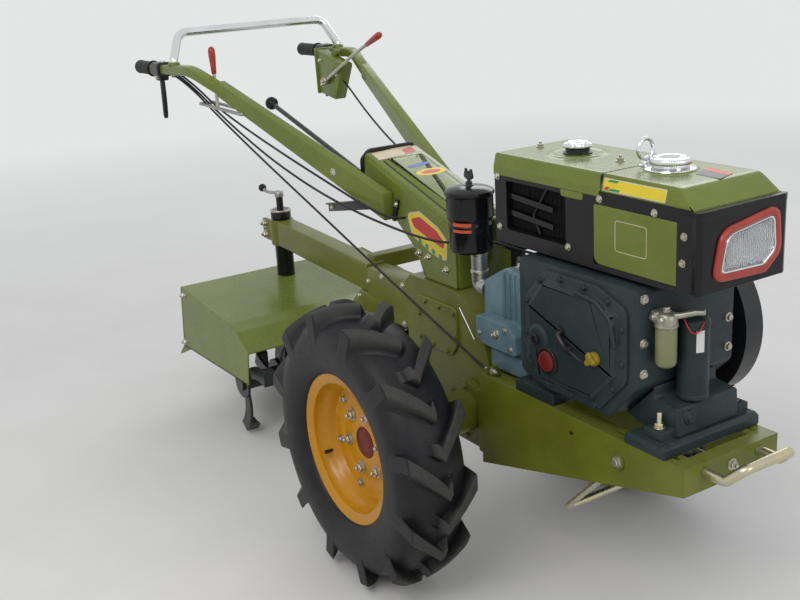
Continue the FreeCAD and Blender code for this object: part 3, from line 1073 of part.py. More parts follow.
# Control cables, each through points chosen by hand, as x, y, z
CABLE_ROUTES = {
    "cable_steering": [
        (-1247, -261, 1058), (-1222, -261, 1058), (-1150, -230, 1012), (-1072, -202, 952), (-880, -186, 895),
        (-690, -169, 844), (-490, -152, 795), (-330, -139, 757), (-262, -112, 738), (-262, -83, 738)],
    "cable_throttle": [
        (-1247, -261, 1050), (-1222, -261, 1050), (-1150, -235, 1006), (-1072, -209, 948), (-990, -202, 913),
        (-908, -195, 881), (-825, -188, 851), (-742, -182, 825), (-660, -175, 802), (-577, -168, 781),
        (-495, -161, 764), (-412, -154, 750), (-330, -147, 738), (-247, -140, 730), (-165, -134, 724),
        (-82, -126, 722), (-34, -104, 721), (-24, -58, 720), (20, -24, 719), (100, -20, 716), (170, -21, 718),
        (206, -18, 718), (236, -18, 718)],
    "cable_clutch": [
        (-1247, -261, 1042), (-1222, -261, 1042), (-1150, -236, 999), (-1072, -214, 941), (-840, -197, 842),
        (-600, -173, 739), (-360, -151, 637), (-130, -130, 540), (40, -114, 470), (70, -108, 453), (100, -108, 453)],
    "cable_left": [
        (-1080.5, 234, 978.5), (-1057.9, 234, 966.3), (-975, 223, 924), (-890, 212, 885), (-805, 201, 851),
        (-720, 190, 822), (-635, 179, 799), (-550, 168, 781), (-465, 157, 767), (-390, 147, 760), (-330, 139, 757),
        (-262, 112, 738), (-262, 83, 738)],
}
for label, route in CABLE_ROUTES.items():
    points = [Vector(*spot) for spot in route]
    radii = [bendRadius(*three) for three in zip(points, points[1:], points[2:])]
    print(label, "bend radii in mm:", " ".join("%.0f" % radius for radius in radii))
    node(feature(label.title().replace("_", ""), bentRod(points, s.cableRadius, math.inf)), label)

doc.recompute()
for thing in doc.Objects:
    if "Invalid" in thing.State or "Error" in thing.State:
        raise RuntimeError("%s did not build: %s" % (thing.Name, thing.State))
for thing in NODES:
    if thing.Shape.isNull() or not thing.Shape.isValid():
        raise RuntimeError("%s has no valid shape" % thing.Label)

os.makedirs("parts", exist_ok=True)
for thing in NODES:
    thing.Shape.exportStep("parts/%s.step" % thing.Label)
print(len(NODES), "sub-parts written")
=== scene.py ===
import math

import bpy
import numpy as np
from mathutils import Matrix, Vector


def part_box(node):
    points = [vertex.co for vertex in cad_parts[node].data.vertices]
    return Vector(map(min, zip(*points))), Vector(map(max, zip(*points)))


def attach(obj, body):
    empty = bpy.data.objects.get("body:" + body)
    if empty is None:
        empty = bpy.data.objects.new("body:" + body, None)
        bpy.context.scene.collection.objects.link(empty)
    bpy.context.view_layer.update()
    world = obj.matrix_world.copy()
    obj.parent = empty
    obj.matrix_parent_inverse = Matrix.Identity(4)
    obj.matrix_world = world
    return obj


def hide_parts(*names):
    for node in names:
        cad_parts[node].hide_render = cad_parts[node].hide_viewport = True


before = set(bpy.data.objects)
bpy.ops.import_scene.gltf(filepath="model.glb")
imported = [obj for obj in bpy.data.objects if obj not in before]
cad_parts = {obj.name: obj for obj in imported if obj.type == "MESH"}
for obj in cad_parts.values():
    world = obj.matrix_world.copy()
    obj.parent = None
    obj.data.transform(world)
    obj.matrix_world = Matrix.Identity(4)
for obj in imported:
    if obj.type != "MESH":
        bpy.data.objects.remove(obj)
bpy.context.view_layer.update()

# Shapes are worked out in millimetres, X forward, Y left, Z up. addPiece turns them into metres.


# ---- shapes: each function gives (points, faces)
def gridShape(points, around=False, along=False, capStart=False, capEnd=False):
    """Rows by columns of points, where four neighbours make a face. around joins the last column to the first."""
    rows, cols = points.shape[:2]
    index = np.arange(rows * cols).reshape(rows, cols)
    if around:
        index = np.concatenate([index, index[:, :1]], 1)
    if along:
        index = np.concatenate([index, index[:1]], 0)
    quads = np.stack([index[:-1, :-1], index[:-1, 1:], index[1:, 1:], index[1:, :-1]], -1).reshape(-1, 4)
    faces = quads.tolist()
    if capStart:
        faces.append(np.arange(cols)[::-1].tolist())
    if capEnd:
        faces.append((np.arange(cols) + (rows - 1) * cols).tolist())
    return outward(points.reshape(-1, 3), faces)


def outward(points, faces):
    """Turns every face round if the volume that they close comes out negative."""
    longest = max(len(face) for face in faces)
    volume = 0.0
    for size in range(3, longest + 1):
        some = np.array([face for face in faces if len(face) == size])
        if len(some) == 0:
            continue
        for k in range(1, size - 1):
            a, b, c = points[some[:, 0]], points[some[:, k]], points[some[:, k + 1]]
            volume += np.einsum("ij,ij->i", a, np.cross(b, c)).sum()
    return (points, faces) if volume >= 0 else (points, [face[::-1] for face in faces])


def merged(*shapes):
    """Several shapes as one list of points and faces."""
    points, faces, start = [], [], 0
    for some, own in shapes:
        points.append(some)
        faces += [[i + start for i in face] for face in own]
        start += len(some)
    return np.concatenate(points), faces


def mirroredShape(shape):
    """The twin across the middle plane, with its faces turned to point outwards again."""
    points, faces = shape
    return points * [1, -1, 1], [face[::-1] for face in faces]


def turnedTo(points, axis):
    """Points built round +Z, turned so that +Z lies along the axis."""
    turn = np.array(Vector((0, 0, 1)).rotation_difference(Vector(axis)).to_matrix())
    return points @ turn.T


def latheShape(profile, centre, axis=(0, 0, 1), steps=48, closed=False):
    """Each (radius, height) of the profile goes round the axis. A closed profile is a ring, another is capped flat."""
    profile = np.array(profile, float)
    angle = np.linspace(0, 2 * np.pi, steps, endpoint=False)
    ring = np.stack([np.cos(angle), np.sin(angle)], -1)
    points = np.empty((len(profile), steps, 3))
    points[..., :2] = profile[:, None, :1] * ring[None]
    points[..., 2] = profile[:, None, 1]
    points = turnedTo(points.reshape(-1, 3), axis).reshape(points.shape) + np.array(centre, float)
    return gridShape(points, around=True, along=closed, capStart=not closed, capEnd=not closed)


def prismShape(outline, low, high, normal="y"):
    """A flat outline carried from one plane to another, straight across it."""
    outline = np.array(outline, float)
    order = {"y": [0, 2, 1], "x": [2, 0, 1], "z": [0, 1, 2]}[normal]
    rows = [np.column_stack([outline, np.full(len(outline), level)])[:, order] for level in (low, high)]
    return gridShape(np.array(rows), around=True, capStart=True, capEnd=True)


def ringShape(outer, inner, low, high, normal="y"):
    """The plate between two outlines of the same number of points."""
    order = {"y": [0, 2, 1], "x": [2, 0, 1], "z": [0, 1, 2]}[normal]
    rows = []
    for outline, level in ((outer, low), (outer, high), (inner, high), (inner, low)):
        outline = np.array(outline, float)
        rows.append(np.column_stack([outline, np.full(len(outline), level)])[:, order])
    return gridShape(np.array(rows), around=True, along=True)


def boxShape(low, high):
    """A box between two corners."""
    (x0, y0, z0), (x1, y1, z1) = low, high
    return prismShape([(x0, z0), (x1, z0), (x1, z1), (x0, z1)], y0, y1)


def roundedOutline(corners, radius, steps=6):
    """Each corner of a flat outline becomes an arc that its two sides touch."""
    corners = np.array(corners, float)
    radii = np.broadcast_to(radius, len(corners))
    points = []
    for i, corner in enumerate(corners):
        into = corner - corners[i - 1]
        out = corners[(i + 1) % len(corners)] - corner
        longest = 0.49 * min(np.linalg.norm(into), np.linalg.norm(out))
        into, out = into / np.linalg.norm(into), out / np.linalg.norm(out)
        half = math.acos(np.clip(into @ out, -1, 1)) / 2
        reach = min(radii[i] * math.tan(half), longest)
        share = np.linspace(0, 1, steps)[:, None]
        a, b = corner - into * reach, corner + out * reach
        points.append((1 - share) ** 2 * a + 2 * share * (1 - share) * corner + share ** 2 * b)
    return np.concatenate(points)


def roundedPath(points, bend, steps=8):
    """Straight runs joined by arcs, as points along the line."""
    points = [np.array(p, float) for p in points]
    path = [points[0]]
    for before, corner, after in zip(points, points[1:], points[2:]):
        into, out = corner - before, after - corner
        shorter = min(np.linalg.norm(into), np.linalg.norm(out))
        into, out = into / np.linalg.norm(into), out / np.linalg.norm(out)
        half = math.acos(np.clip(into @ out, -1, 1)) / 2
        radius = min(bend, 0.45 * shorter / max(math.tan(half), 1e-6))
        inward = (out - into) / max(np.linalg.norm(out - into), 1e-9)
        middle = corner + inward * radius / math.cos(half)
        for angle in np.linspace(-half, half, steps):
            path.append(middle - inward * radius * math.cos(angle) + (into + out) / np.linalg.norm(into + out)
                        * radius * math.sin(angle))
    path.append(points[-1])
    return np.array(path)


def sweptShape(path, sections, up=(0, 0, 1), capped=True):
    """A section of (side, up) points carried along a path. The frame turns only as far as the path does."""
    path = np.array(path, float)
    tangent = np.gradient(path, axis=0)
    tangent /= np.linalg.norm(tangent, axis=1)[:, None]
    upward = np.array(up, float)
    frames = []
    for t in tangent:
        upward = upward - t * (upward @ t)
        upward = upward / np.linalg.norm(upward)
        frames.append((np.cross(t, upward), upward))
    side = np.array([f[0] for f in frames])
    over = np.array([f[1] for f in frames])
    sections = np.broadcast_to(sections, (len(path),) + np.shape(sections)[-2:])
    points = path[:, None] + side[:, None] * sections[..., :1] + over[:, None] * sections[..., 1:]
    return gridShape(points, around=True, capStart=capped, capEnd=capped)


def circleSection(radius, sides=16):
    angle = np.linspace(0, 2 * np.pi, sides, endpoint=False)
    return np.column_stack([np.cos(angle), np.sin(angle)]) * radius


def rodShape(points, radius, bend=20, sides=16, up=(0, 0, 1)):
    """A round bar along straight runs with rounded bends."""
    path = roundedPath(points, bend) if len(points) > 2 else np.array(points, float)
    direction = path[1] - path[0]
    if abs(direction @ np.array(up)) > 0.95 * np.linalg.norm(direction):
        up = (0, 1, 0)
    return sweptShape(path, circleSection(radius, sides), up)


def hexBolt(place, axis, across, head=None, washer=1.55, nut=False):
    """A washer, a six-sided head with a chamfer, and a thread end above it where it is a nut."""
    head = head or across * 0.55
    radius = across / math.sqrt(3)
    disc = latheShape([(across * washer / 2, 0), (across * washer / 2, across * 0.1), (across * 0.3, across * 0.12)],
                      (0, 0, 0), steps=20)
    corners = [(radius * 0.99, across * 0.1), (radius, head * 0.82), (radius * 0.86, head), (radius * 0.3, head)]
    six = latheShape(corners, (0, 0, 0), steps=6)
    shapes = [disc, six]
    if nut:
        shapes.append(latheShape([(across * 0.27, head * 0.5), (across * 0.27, head * 1.6), (across * 0.2, head * 1.75)],
                                 (0, 0, 0), steps=12))
    points, faces = merged(*shapes)
    return turnedTo(points, axis) + np.array(place, float), faces


def boltField(rows):
    """One shape of many bolts, from rows of (place, axis, size across flats, is a nut)."""
    return merged(*[hexBolt(place, axis, across, nut=nut) for place, axis, across, nut in rows])


# ---- pieces
def addPiece(name, shapes, body, finishes, replaces=(), bevel=0.0, segments=2, angle=35, subdivide=0):
    """Joins shapes into one mesh in metres. Each shape has the finish that stands in its place in the list."""
    finishes = finishes if isinstance(finishes, list) else [finishes]
    points, faces, kinds, start = [], [], [], 0
    for i, (some, own) in enumerate(shapes):
        points.append(np.asarray(some) * 0.001)
        faces += [[k + start for k in face] for face in own]
        kinds += [min(i, len(finishes) - 1)] * len(own)
        start += len(some)
    mesh = bpy.data.meshes.new(name)
    mesh.from_pydata(np.concatenate(points).tolist(), [], faces)
    mesh.polygons.foreach_set("use_smooth", [True] * len(faces))
    mesh.polygons.foreach_set("material_index", kinds)
    mesh.set_sharp_from_angle(angle=math.radians(angle))
    for finish in finishes:
        mesh.materials.append(finishesByName[finish])
    piece = bpy.data.objects.new(name, mesh)
    bpy.context.scene.collection.objects.link(piece)
    if bevel:
        modifier = piece.modifiers.new("edges", "BEVEL")
        modifier.width = bevel * 0.001
        modifier.segments = segments
        modifier.limit_method = "ANGLE"
        modifier.angle_limit = math.radians(angle)
        modifier.harden_normals = True
    if subdivide:
        modifier = piece.modifiers.new("smooth", "SUBSURF")
        modifier.levels = modifier.render_levels = subdivide
    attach(piece, body)
    if replaces:
        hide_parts(*([replaces] if isinstance(replaces, str) else replaces))
    return piece


# ---- finishes
finishesByName = {}


def newNode(tree, kind, inputs=None, **settings):
    made = tree.nodes.new(kind)
    for key, value in settings.items():
        setattr(made, key, value)
    for key, value in (inputs or {}).items():
        if isinstance(value, bpy.types.NodeSocket):
            tree.links.new(value, made.inputs[key])
        else:
            made.inputs[key].default_value = value
    return made


def mixColour(tree, factor, a, b):
    made = newNode(tree, "ShaderNodeMix", {0: factor, 6: a, 7: b}, data_type="RGBA")
    return made.outputs[2]


def spread(tree, value, low, high, toLow=0.0, toHigh=1.0):
    """Maps a range of a value onto another, and stops at its ends."""
    return newNode(tree, "ShaderNodeMapRange",
                   {"Value": value, "From Min": low, "From Max": high, "To Min": toLow, "To Max": toHigh}).outputs[0]


def times(tree, a, b):
    return newNode(tree, "ShaderNodeMath", {0: a, 1: b}, operation="MULTIPLY").outputs[0]


def noise(tree, where, scale, detail=3.0, rough=0.55):
    return newNode(tree, "ShaderNodeTexNoise",
                   {"Vector": where, "Scale": scale, "Detail": detail, "Roughness": rough}).outputs[0]


# colour, second colour, share of metal, roughness and its swing, clear coat, dust on top, lighter edges (wear and
# painted highlight) and their colour, edge radius in mm, scale and depth in mm of the grain, size of the clouds
finishTable = {
    "oliveGreen": dict(colour=(0.148, 0.184, 0.024), second=(0.128, 0.160, 0.020), metal=0.0, rough=0.28, swing=0.10, coat=0.12,
                       dust=0.04, edgeWearAndHighlight=0.25, edgeWearAndHighlightColour=(0.30, 0.34, 0.16), edge=1.6, grain=520, depth=0.05, clouds=7),
    "frameGreen": dict(colour=(0.140, 0.158, 0.014), second=(0.110, 0.124, 0.010), metal=0.0, rough=0.36, swing=0.16, coat=0.10,
                       dust=0.10, edgeWearAndHighlight=0.30, edgeWearAndHighlightColour=(0.34, 0.36, 0.15), edge=1.6, grain=300, depth=0.10, clouds=9),
    "engineGrey": dict(colour=(0.021, 0.034, 0.036), second=(0.015, 0.025, 0.028), metal=0.0, rough=0.44, swing=0.16, coat=0.0,
                       gloss=0.26, dust=0.05, edgeWearAndHighlight=0.20, edgeWearAndHighlightColour=(0.12, 0.15, 0.16), edge=2.0, grain=170, depth=0.45, clouds=12),
    "headGrey": dict(colour=(0.130, 0.225, 0.265), second=(0.095, 0.165, 0.195), metal=0.05, rough=0.40, swing=0.16, coat=0.15,
                     dust=0.10, edgeWearAndHighlight=0.30, edgeWearAndHighlightColour=(0.30, 0.38, 0.42), edge=2.0, grain=150, depth=0.5, clouds=14),
    "darkPaint": dict(colour=(0.020, 0.022, 0.025), second=(0.012, 0.013, 0.015), metal=0.0, rough=0.36, swing=0.18, coat=0.2,
                      dust=0.14, edgeWearAndHighlight=0.25, edgeWearAndHighlightColour=(0.16, 0.16, 0.15), edge=1.4, grain=240, depth=0.12, clouds=11),
    "glossBlack": dict(colour=(0.008, 0.008, 0.009), second=(0.005, 0.005, 0.006), metal=0.0, rough=0.18, swing=0.10, coat=0.0,
                       gloss=0.30, dust=0.02, edgeWearAndHighlight=0.10, edgeWearAndHighlightColour=(0.12, 0.12, 0.12), edge=1.5, grain=500, depth=0.04, clouds=8),
    "rimYellow": dict(colour=(0.520, 0.235, 0.002), second=(0.450, 0.195, 0.0015), metal=0.0, rough=0.28, swing=0.10, coat=0.10,
                      dust=0.03, edgeWearAndHighlight=0.15, edgeWearAndHighlightColour=(0.80, 0.55, 0.16), edge=1.6, grain=430, depth=0.05, clouds=7),
    "hubRed": dict(colour=(0.150, 0.011, 0.008), second=(0.120, 0.009, 0.006), metal=0.0, rough=0.40, swing=0.15, coat=0.05,
                   dust=0.05, edgeWearAndHighlight=0.15, edgeWearAndHighlightColour=(0.30, 0.10, 0.08), edge=1.2, grain=300, depth=0.15, clouds=20),
    "lampRed": dict(colour=(0.380, 0.045, 0.030), second=(0.320, 0.034, 0.024), metal=0.0, rough=0.32, swing=0.10, coat=0.3,
                    dust=0.06, edgeWearAndHighlight=0.05, edgeWearAndHighlightColour=(0.45, 0.12, 0.10), edge=1.2, grain=600, depth=0.04, clouds=14),
    "leverRed": dict(colour=(0.400, 0.032, 0.020), second=(0.335, 0.025, 0.016), metal=0.0, rough=0.28, swing=0.10, coat=0.4,
                     dust=0.04, edgeWearAndHighlight=0.05, edgeWearAndHighlightColour=(0.6, 0.2, 0.15), edge=1.0, grain=600, depth=0.04, clouds=20),
    "goldZinc": dict(colour=(0.620, 0.560, 0.330), second=(0.520, 0.500, 0.400), metal=0.92, rough=0.30, swing=0.16, coat=0.0,
                     dust=0.05, edgeWearAndHighlight=0.10, edgeWearAndHighlightColour=(0.75, 0.72, 0.60), edge=1.2, grain=260, depth=0.12, clouds=26),
    "boltZinc": dict(colour=(0.560, 0.540, 0.470), second=(0.450, 0.420, 0.340), metal=0.95, rough=0.34, swing=0.16, coat=0.0,
                     dust=0.06, edgeWearAndHighlight=0.10, edgeWearAndHighlightColour=(0.7, 0.7, 0.68), edge=0.6, grain=400, depth=0.08, clouds=60),
    "bareSteel": dict(colour=(0.420, 0.420, 0.410), second=(0.330, 0.325, 0.310), metal=0.95, rough=0.34, swing=0.18, coat=0.0,
                      dust=0.06, edgeWearAndHighlight=0.10, edgeWearAndHighlightColour=(0.6, 0.6, 0.6), edge=1.0, grain=320, depth=0.10, clouds=30),
    "chromePlate": dict(colour=(0.800, 0.810, 0.820), second=(0.740, 0.750, 0.760), metal=1.0, rough=0.10, swing=0.08, coat=0.0,
                        dust=0.03, edgeWearAndHighlight=0.0, edgeWearAndHighlightColour=(0.8, 0.8, 0.8), edge=1.0, grain=700, depth=0.01, clouds=16),
    "castZinc": dict(colour=(0.420, 0.420, 0.360), second=(0.320, 0.315, 0.255), metal=0.75, rough=0.42, swing=0.16, coat=0.0,
                     dust=0.08, edgeWearAndHighlight=0.15, edgeWearAndHighlightColour=(0.6, 0.6, 0.52), edge=1.4, grain=260, depth=0.25, clouds=30),
    "softRubber": dict(colour=(0.014, 0.014, 0.015), second=(0.010, 0.010, 0.011), metal=0.0, rough=0.50, swing=0.16, coat=0.0,
                       dust=0.12, edgeWearAndHighlight=0.05, edgeWearAndHighlightColour=(0.06, 0.06, 0.06), edge=1.2, grain=420, depth=0.10, clouds=20),
    "blackPlastic": dict(colour=(0.012, 0.012, 0.013), second=(0.009, 0.009, 0.010), metal=0.0, rough=0.34, swing=0.12, coat=0.1,
                         dust=0.08, edgeWearAndHighlight=0.05, edgeWearAndHighlightColour=(0.05, 0.05, 0.05), edge=1.2, grain=600, depth=0.06, clouds=14),
    "labelWhite": dict(colour=(0.62, 0.63, 0.60), second=(0.55, 0.56, 0.53), metal=0.0, rough=0.45, swing=0.1, coat=0.1,
                       dust=0.08, edgeWearAndHighlight=0.0, edgeWearAndHighlightColour=(0.6, 0.6, 0.6), edge=0.4, grain=500, depth=0.02, clouds=20),
    "labelOrange": dict(colour=(0.62, 0.085, 0.022), second=(0.55, 0.07, 0.02), metal=0.0, rough=0.40, swing=0.1, coat=0.2,
                        dust=0.06, edgeWearAndHighlight=0.0, edgeWearAndHighlightColour=(0.6, 0.2, 0.1), edge=0.4, grain=500, depth=0.02, clouds=20),
    "labelYellow": dict(colour=(0.74, 0.58, 0.03), second=(0.68, 0.52, 0.025), metal=0.0, rough=0.36, swing=0.1, coat=0.3,
                        dust=0.05, edgeWearAndHighlight=0.0, edgeWearAndHighlightColour=(0.7, 0.6, 0.1), edge=0.4, grain=500, depth=0.02, clouds=20),
    "labelGreen": dict(colour=(0.030, 0.26, 0.06), second=(0.025, 0.22, 0.05), metal=0.0, rough=0.36, swing=0.1, coat=0.3,
                       dust=0.05, edgeWearAndHighlight=0.0, edgeWearAndHighlightColour=(0.1, 0.3, 0.1), edge=0.4, grain=500, depth=0.02, clouds=20),
    "labelCream": dict(colour=(0.60, 0.52, 0.34), second=(0.54, 0.46, 0.29), metal=0.0, rough=0.42, swing=0.1, coat=0.2,
                       dust=0.06, edgeWearAndHighlight=0.0, edgeWearAndHighlightColour=(0.6, 0.5, 0.4), edge=0.4, grain=500, depth=0.02, clouds=20),
    "plugYellow": dict(colour=(0.27, 0.195, 0.006), second=(0.23, 0.160, 0.005), metal=0.0, rough=0.34, swing=0.12, coat=0.2,
                       dust=0.06, edgeWearAndHighlight=0.05, edgeWearAndHighlightColour=(0.7, 0.6, 0.2), edge=0.8, grain=400, depth=0.06, clouds=30),
    "bowlAmber": dict(colour=(0.185, 0.200, 0.092), second=(0.160, 0.172, 0.078), metal=0.0, rough=0.30, swing=0.08, coat=0.3,
                      dust=0.03, edgeWearAndHighlight=0.0, edgeWearAndHighlightColour=(0.5, 0.4, 0.2), edge=0.8, grain=300, depth=0.03, clouds=20),
    "labelRed": dict(colour=(0.52, 0.03, 0.025), second=(0.45, 0.025, 0.02), metal=0.0, rough=0.38, swing=0.1, coat=0.2,
                     dust=0.05, edgeWearAndHighlight=0.0, edgeWearAndHighlightColour=(0.5, 0.1, 0.1), edge=0.4, grain=500, depth=0.02, clouds=20),
    "labelBlue": dict(colour=(0.06, 0.14, 0.42), second=(0.05, 0.12, 0.36), metal=0.0, rough=0.40, swing=0.1, coat=0.2,
                      dust=0.05, edgeWearAndHighlight=0.0, edgeWearAndHighlightColour=(0.1, 0.2, 0.4), edge=0.4, grain=500, depth=0.02, clouds=20),
    "lampSilver": dict(colour=(0.78, 0.79, 0.80), second=(0.70, 0.71, 0.72), metal=0.9, rough=0.22, swing=0.14, coat=0.0,
                       dust=0.0, edgeWearAndHighlight=0.0, edgeWearAndHighlightColour=(0.8, 0.8, 0.8), edge=1.0, grain=70, depth=1.2, clouds=30),
    "wireRed": dict(colour=(0.45, 0.03, 0.03), second=(0.38, 0.02, 0.02), metal=0.0, rough=0.4, swing=0.1, coat=0.1,
                    dust=0.04, edgeWearAndHighlight=0.0, edgeWearAndHighlightColour=(0.5, 0.1, 0.1), edge=0.4, grain=600, depth=0.02, clouds=20),
}


def makeFinish(name, look):
    """Paint or plate: clouds of two colours, lighter edges that are partly wear and partly a painted highlight, dust on
    what faces up, a fine grain.
    """
    material = bpy.data.materials.new(name)
    material.use_nodes = True
    tree = material.node_tree
    shader = tree.nodes["Principled BSDF"]
    where = newNode(tree, "ShaderNodeTexCoord").outputs["Object"]
    surface = newNode(tree, "ShaderNodeNewGeometry")
    clouds = noise(tree, where, look["clouds"], 5, 0.6)
    specks = noise(tree, where, look["clouds"] * 9, 4, 0.65)
    grain = noise(tree, where, look["grain"], 2, 0.5)
    colour = mixColour(tree, spread(tree, clouds, 0.38, 0.62), look["colour"] + (1,), look["second"] + (1,))
    rounded = newNode(tree, "ShaderNodeBevel", {"Radius": look["edge"] * 0.001}, samples=4).outputs[0]
    # Edges mix toward a lighter colour: partly wear, partly a painted highlight where rounded edges catch the light.
    if look["edgeWearAndHighlight"]:
        match = newNode(tree, "ShaderNodeVectorMath", {0: rounded, 1: surface.outputs["True Normal"]}, operation="DOT_PRODUCT")
        edge = spread(tree, match.outputs["Value"], 0.985, 0.90)
        share = times(tree, times(tree, edge, spread(tree, specks, 0.40, 0.60)), look["edgeWearAndHighlight"])
        colour = mixColour(tree, share, colour, look["edgeWearAndHighlightColour"] + (1,))
    up = newNode(tree, "ShaderNodeSeparateXYZ", {0: surface.outputs["Normal"]}).outputs[2]
    settled = times(tree, times(tree, spread(tree, up, 0.35, 0.98), spread(tree, specks, 0.35, 0.70)), look["dust"])
    colour = mixColour(tree, settled, colour, (0.36, 0.35, 0.32, 1))
    tree.links.new(colour, shader.inputs["Base Color"])
    low, high = look["rough"] - look["swing"] / 2, look["rough"] + look["swing"] / 2
    tree.links.new(spread(tree, specks, 0.3, 0.7, low, high), shader.inputs["Roughness"])
    bump = newNode(tree, "ShaderNodeBump", {"Strength": 1.0, "Distance": look["depth"] * 0.001, "Height": grain, "Normal": rounded})
    tree.links.new(bump.outputs[0], shader.inputs["Normal"])
    shader.inputs["Metallic"].default_value = look["metal"]
    shader.inputs["Coat Weight"].default_value = look["coat"]
    shader.inputs["Coat Roughness"].default_value = 0.12
    shader.inputs["Specular IOR Level"].default_value = look.get("gloss", 0.32)
    return material


for finishName, finishLook in finishTable.items():
    finishesByName[finishName] = makeFinish(finishName, finishLook)


def makeTyreRubber():
    """Black rubber. The piece's lugTop attribute says where dust has dried on the lugs."""
    material = bpy.data.materials.new("tyreRubber")
    material.use_nodes = True
    tree = material.node_tree
    shader = tree.nodes["Principled BSDF"]
    where = newNode(tree, "ShaderNodeTexCoord").outputs["Object"]
    clouds = noise(tree, where, 14, 6, 0.65)
    specks = noise(tree, where, 90, 5, 0.7)
    fine = noise(tree, where, 900, 2, 0.5)
    top = newNode(tree, "ShaderNodeAttribute", attribute_name="lugTop").outputs["Fac"]
    colour = mixColour(tree, spread(tree, clouds, 0.35, 0.65), (0.0085, 0.0085, 0.0100, 1), (0.017, 0.017, 0.019, 1))
    powder = times(tree, spread(tree, top, 0.35, 0.9), spread(tree, specks, 0.28, 0.62, 0.35, 1.0))
    colour = mixColour(tree, powder, colour, (0.052, 0.052, 0.048, 1))
    tree.links.new(colour, shader.inputs["Base Color"])
    shader.inputs["Specular IOR Level"].default_value = 0.24
    rough = newNode(tree, "ShaderNodeMath", {0: spread(tree, specks, 0.3, 0.7, 0.34, 0.48), 1: times(tree, powder, 0.4)},
                    operation="ADD")
    tree.links.new(rough.outputs[0], shader.inputs["Roughness"])
    bump = newNode(tree, "ShaderNodeBump", {"Strength": 1.0, "Distance": 0.0003, "Height": fine})
    tree.links.new(bump.outputs[0], shader.inputs["Normal"])
    return material


finishesByName["tyreRubber"] = makeTyreRubber()


# Clear glass with upright flutes pressed in every 5 mm
def makeLampGlass():
    material = bpy.data.materials.new("lampGlass")
    material.use_nodes = True
    tree = material.node_tree
    shader = tree.nodes["Principled BSDF"]
    where = newNode(tree, "ShaderNodeTexCoord").outputs["Object"]
    haze = noise(tree, where, 60, 4, 0.6)
    flutes = newNode(tree, "ShaderNodeTexWave", {"Vector": where, "Scale": 60.4, "Distortion": 1.4, "Detail": 2.0,
                                                 "Detail Scale": 0.4}, bands_direction="Y").outputs["Fac"]
    bump = newNode(tree, "ShaderNodeBump", {"Strength": 1.0, "Distance": 0.0011, "Height": flutes})
    tree.links.new(bump.outputs[0], shader.inputs["Normal"])
    tree.links.new(spread(tree, haze, 0.3, 0.7, 0.02, 0.07), shader.inputs["Roughness"])
    shader.inputs["Base Color"].default_value = (0.90, 0.93, 0.94, 1)
    shader.inputs["Transmission Weight"].default_value = 0.92
    shader.inputs["IOR"].default_value = 1.45
    return material


finishesByName["lampGlass"] = makeLampGlass()
print("finishes made:", len(finishesByName))


# ---- finishes on the pieces that stay as the CAD made them
nodeFinish = {
    "front_frame": "frameGreen", "bumper": "goldZinc", "front_stand": "goldZinc", "gearbox": "frameGreen",
    "hub_right": "hubRed", "hub_left": "hubRed", "rim_right": "rimYellow", "rim_left": "rimYellow",
    "tyre_right": "tyreRubber", "tyre_left": "tyreRubber", "crankcase": "engineGrey", "gear_cover": "engineGrey",
    "engine_plugs": "blackPlastic", "cylinder_head": "headGrey", "engine_feet": "engineGrey",
    "side_canister": "darkPaint", "filter_head": "castZinc", "filter_bowl": "bowlAmber", "flywheel": "darkPaint",
    "clutch_pulley": "darkPaint", "drive_belts": "softRubber", "radiator_cover": "oliveGreen", "radiator": "glossBlack",
    "fuel_tank": "oliveGreen", "fascia": "glossBlack", "lamp_surround": "lampRed", "lamp_lens": "lampGlass",
    "radiator_cap": "chromePlate", "fuel_cap": "chromePlate", "lifting_eye": "bareSteel",
    "air_cleaner": "blackPlastic", "intake_pipe": "darkPaint", "muffler": "darkPaint", "console": "oliveGreen",
    "handlebar_right": "oliveGreen", "handlebar_left": "oliveGreen", "grip_right": "softRubber",
    "grip_left": "softRubber", "handrail": "chromePlate", "steering_lever_right": "darkPaint",
    "steering_lever_left": "darkPaint", "lever_bracket": "oliveGreen", "hand_lever_left": "leverRed",
    "hand_lever_right": "leverRed", "gear_lever": "bareSteel", "pto_lever": "darkPaint",
    "tiller_arm": "frameGreen", "tiller_case": "frameGreen", "tiller_cover": "oliveGreen", "rotor": "darkPaint",
    "depth_post": "darkPaint", "tail_stem": "darkPaint", "post_crank": "bareSteel", "tail_wheel": "darkPaint",
    "cable_steering": "softRubber", "cable_throttle": "softRubber", "cable_clutch": "softRubber",
    "cable_left": "softRubber",
}
for node, finish in nodeFinish.items():
    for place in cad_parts[node].material_slots:
        place.material = finishesByName[finish]


# Floor, light and camera
backdrop = (0.78, 0.79, 0.79, 1)


# Rays that see the pale backdrop: the camera's own, those off metal and those through glass, added and held at 1
def paleRays(tree):
    rays = newNode(tree, "ShaderNodeLightPath").outputs
    both = newNode(tree, "ShaderNodeMath", {0: rays["Is Camera Ray"], 1: rays["Is Glossy Ray"]}, operation="ADD").outputs[0]
    return newNode(tree, "ShaderNodeMath", {0: both, 1: rays["Is Transmission Ray"]}, operation="ADD", use_clamp=True).outputs[0]


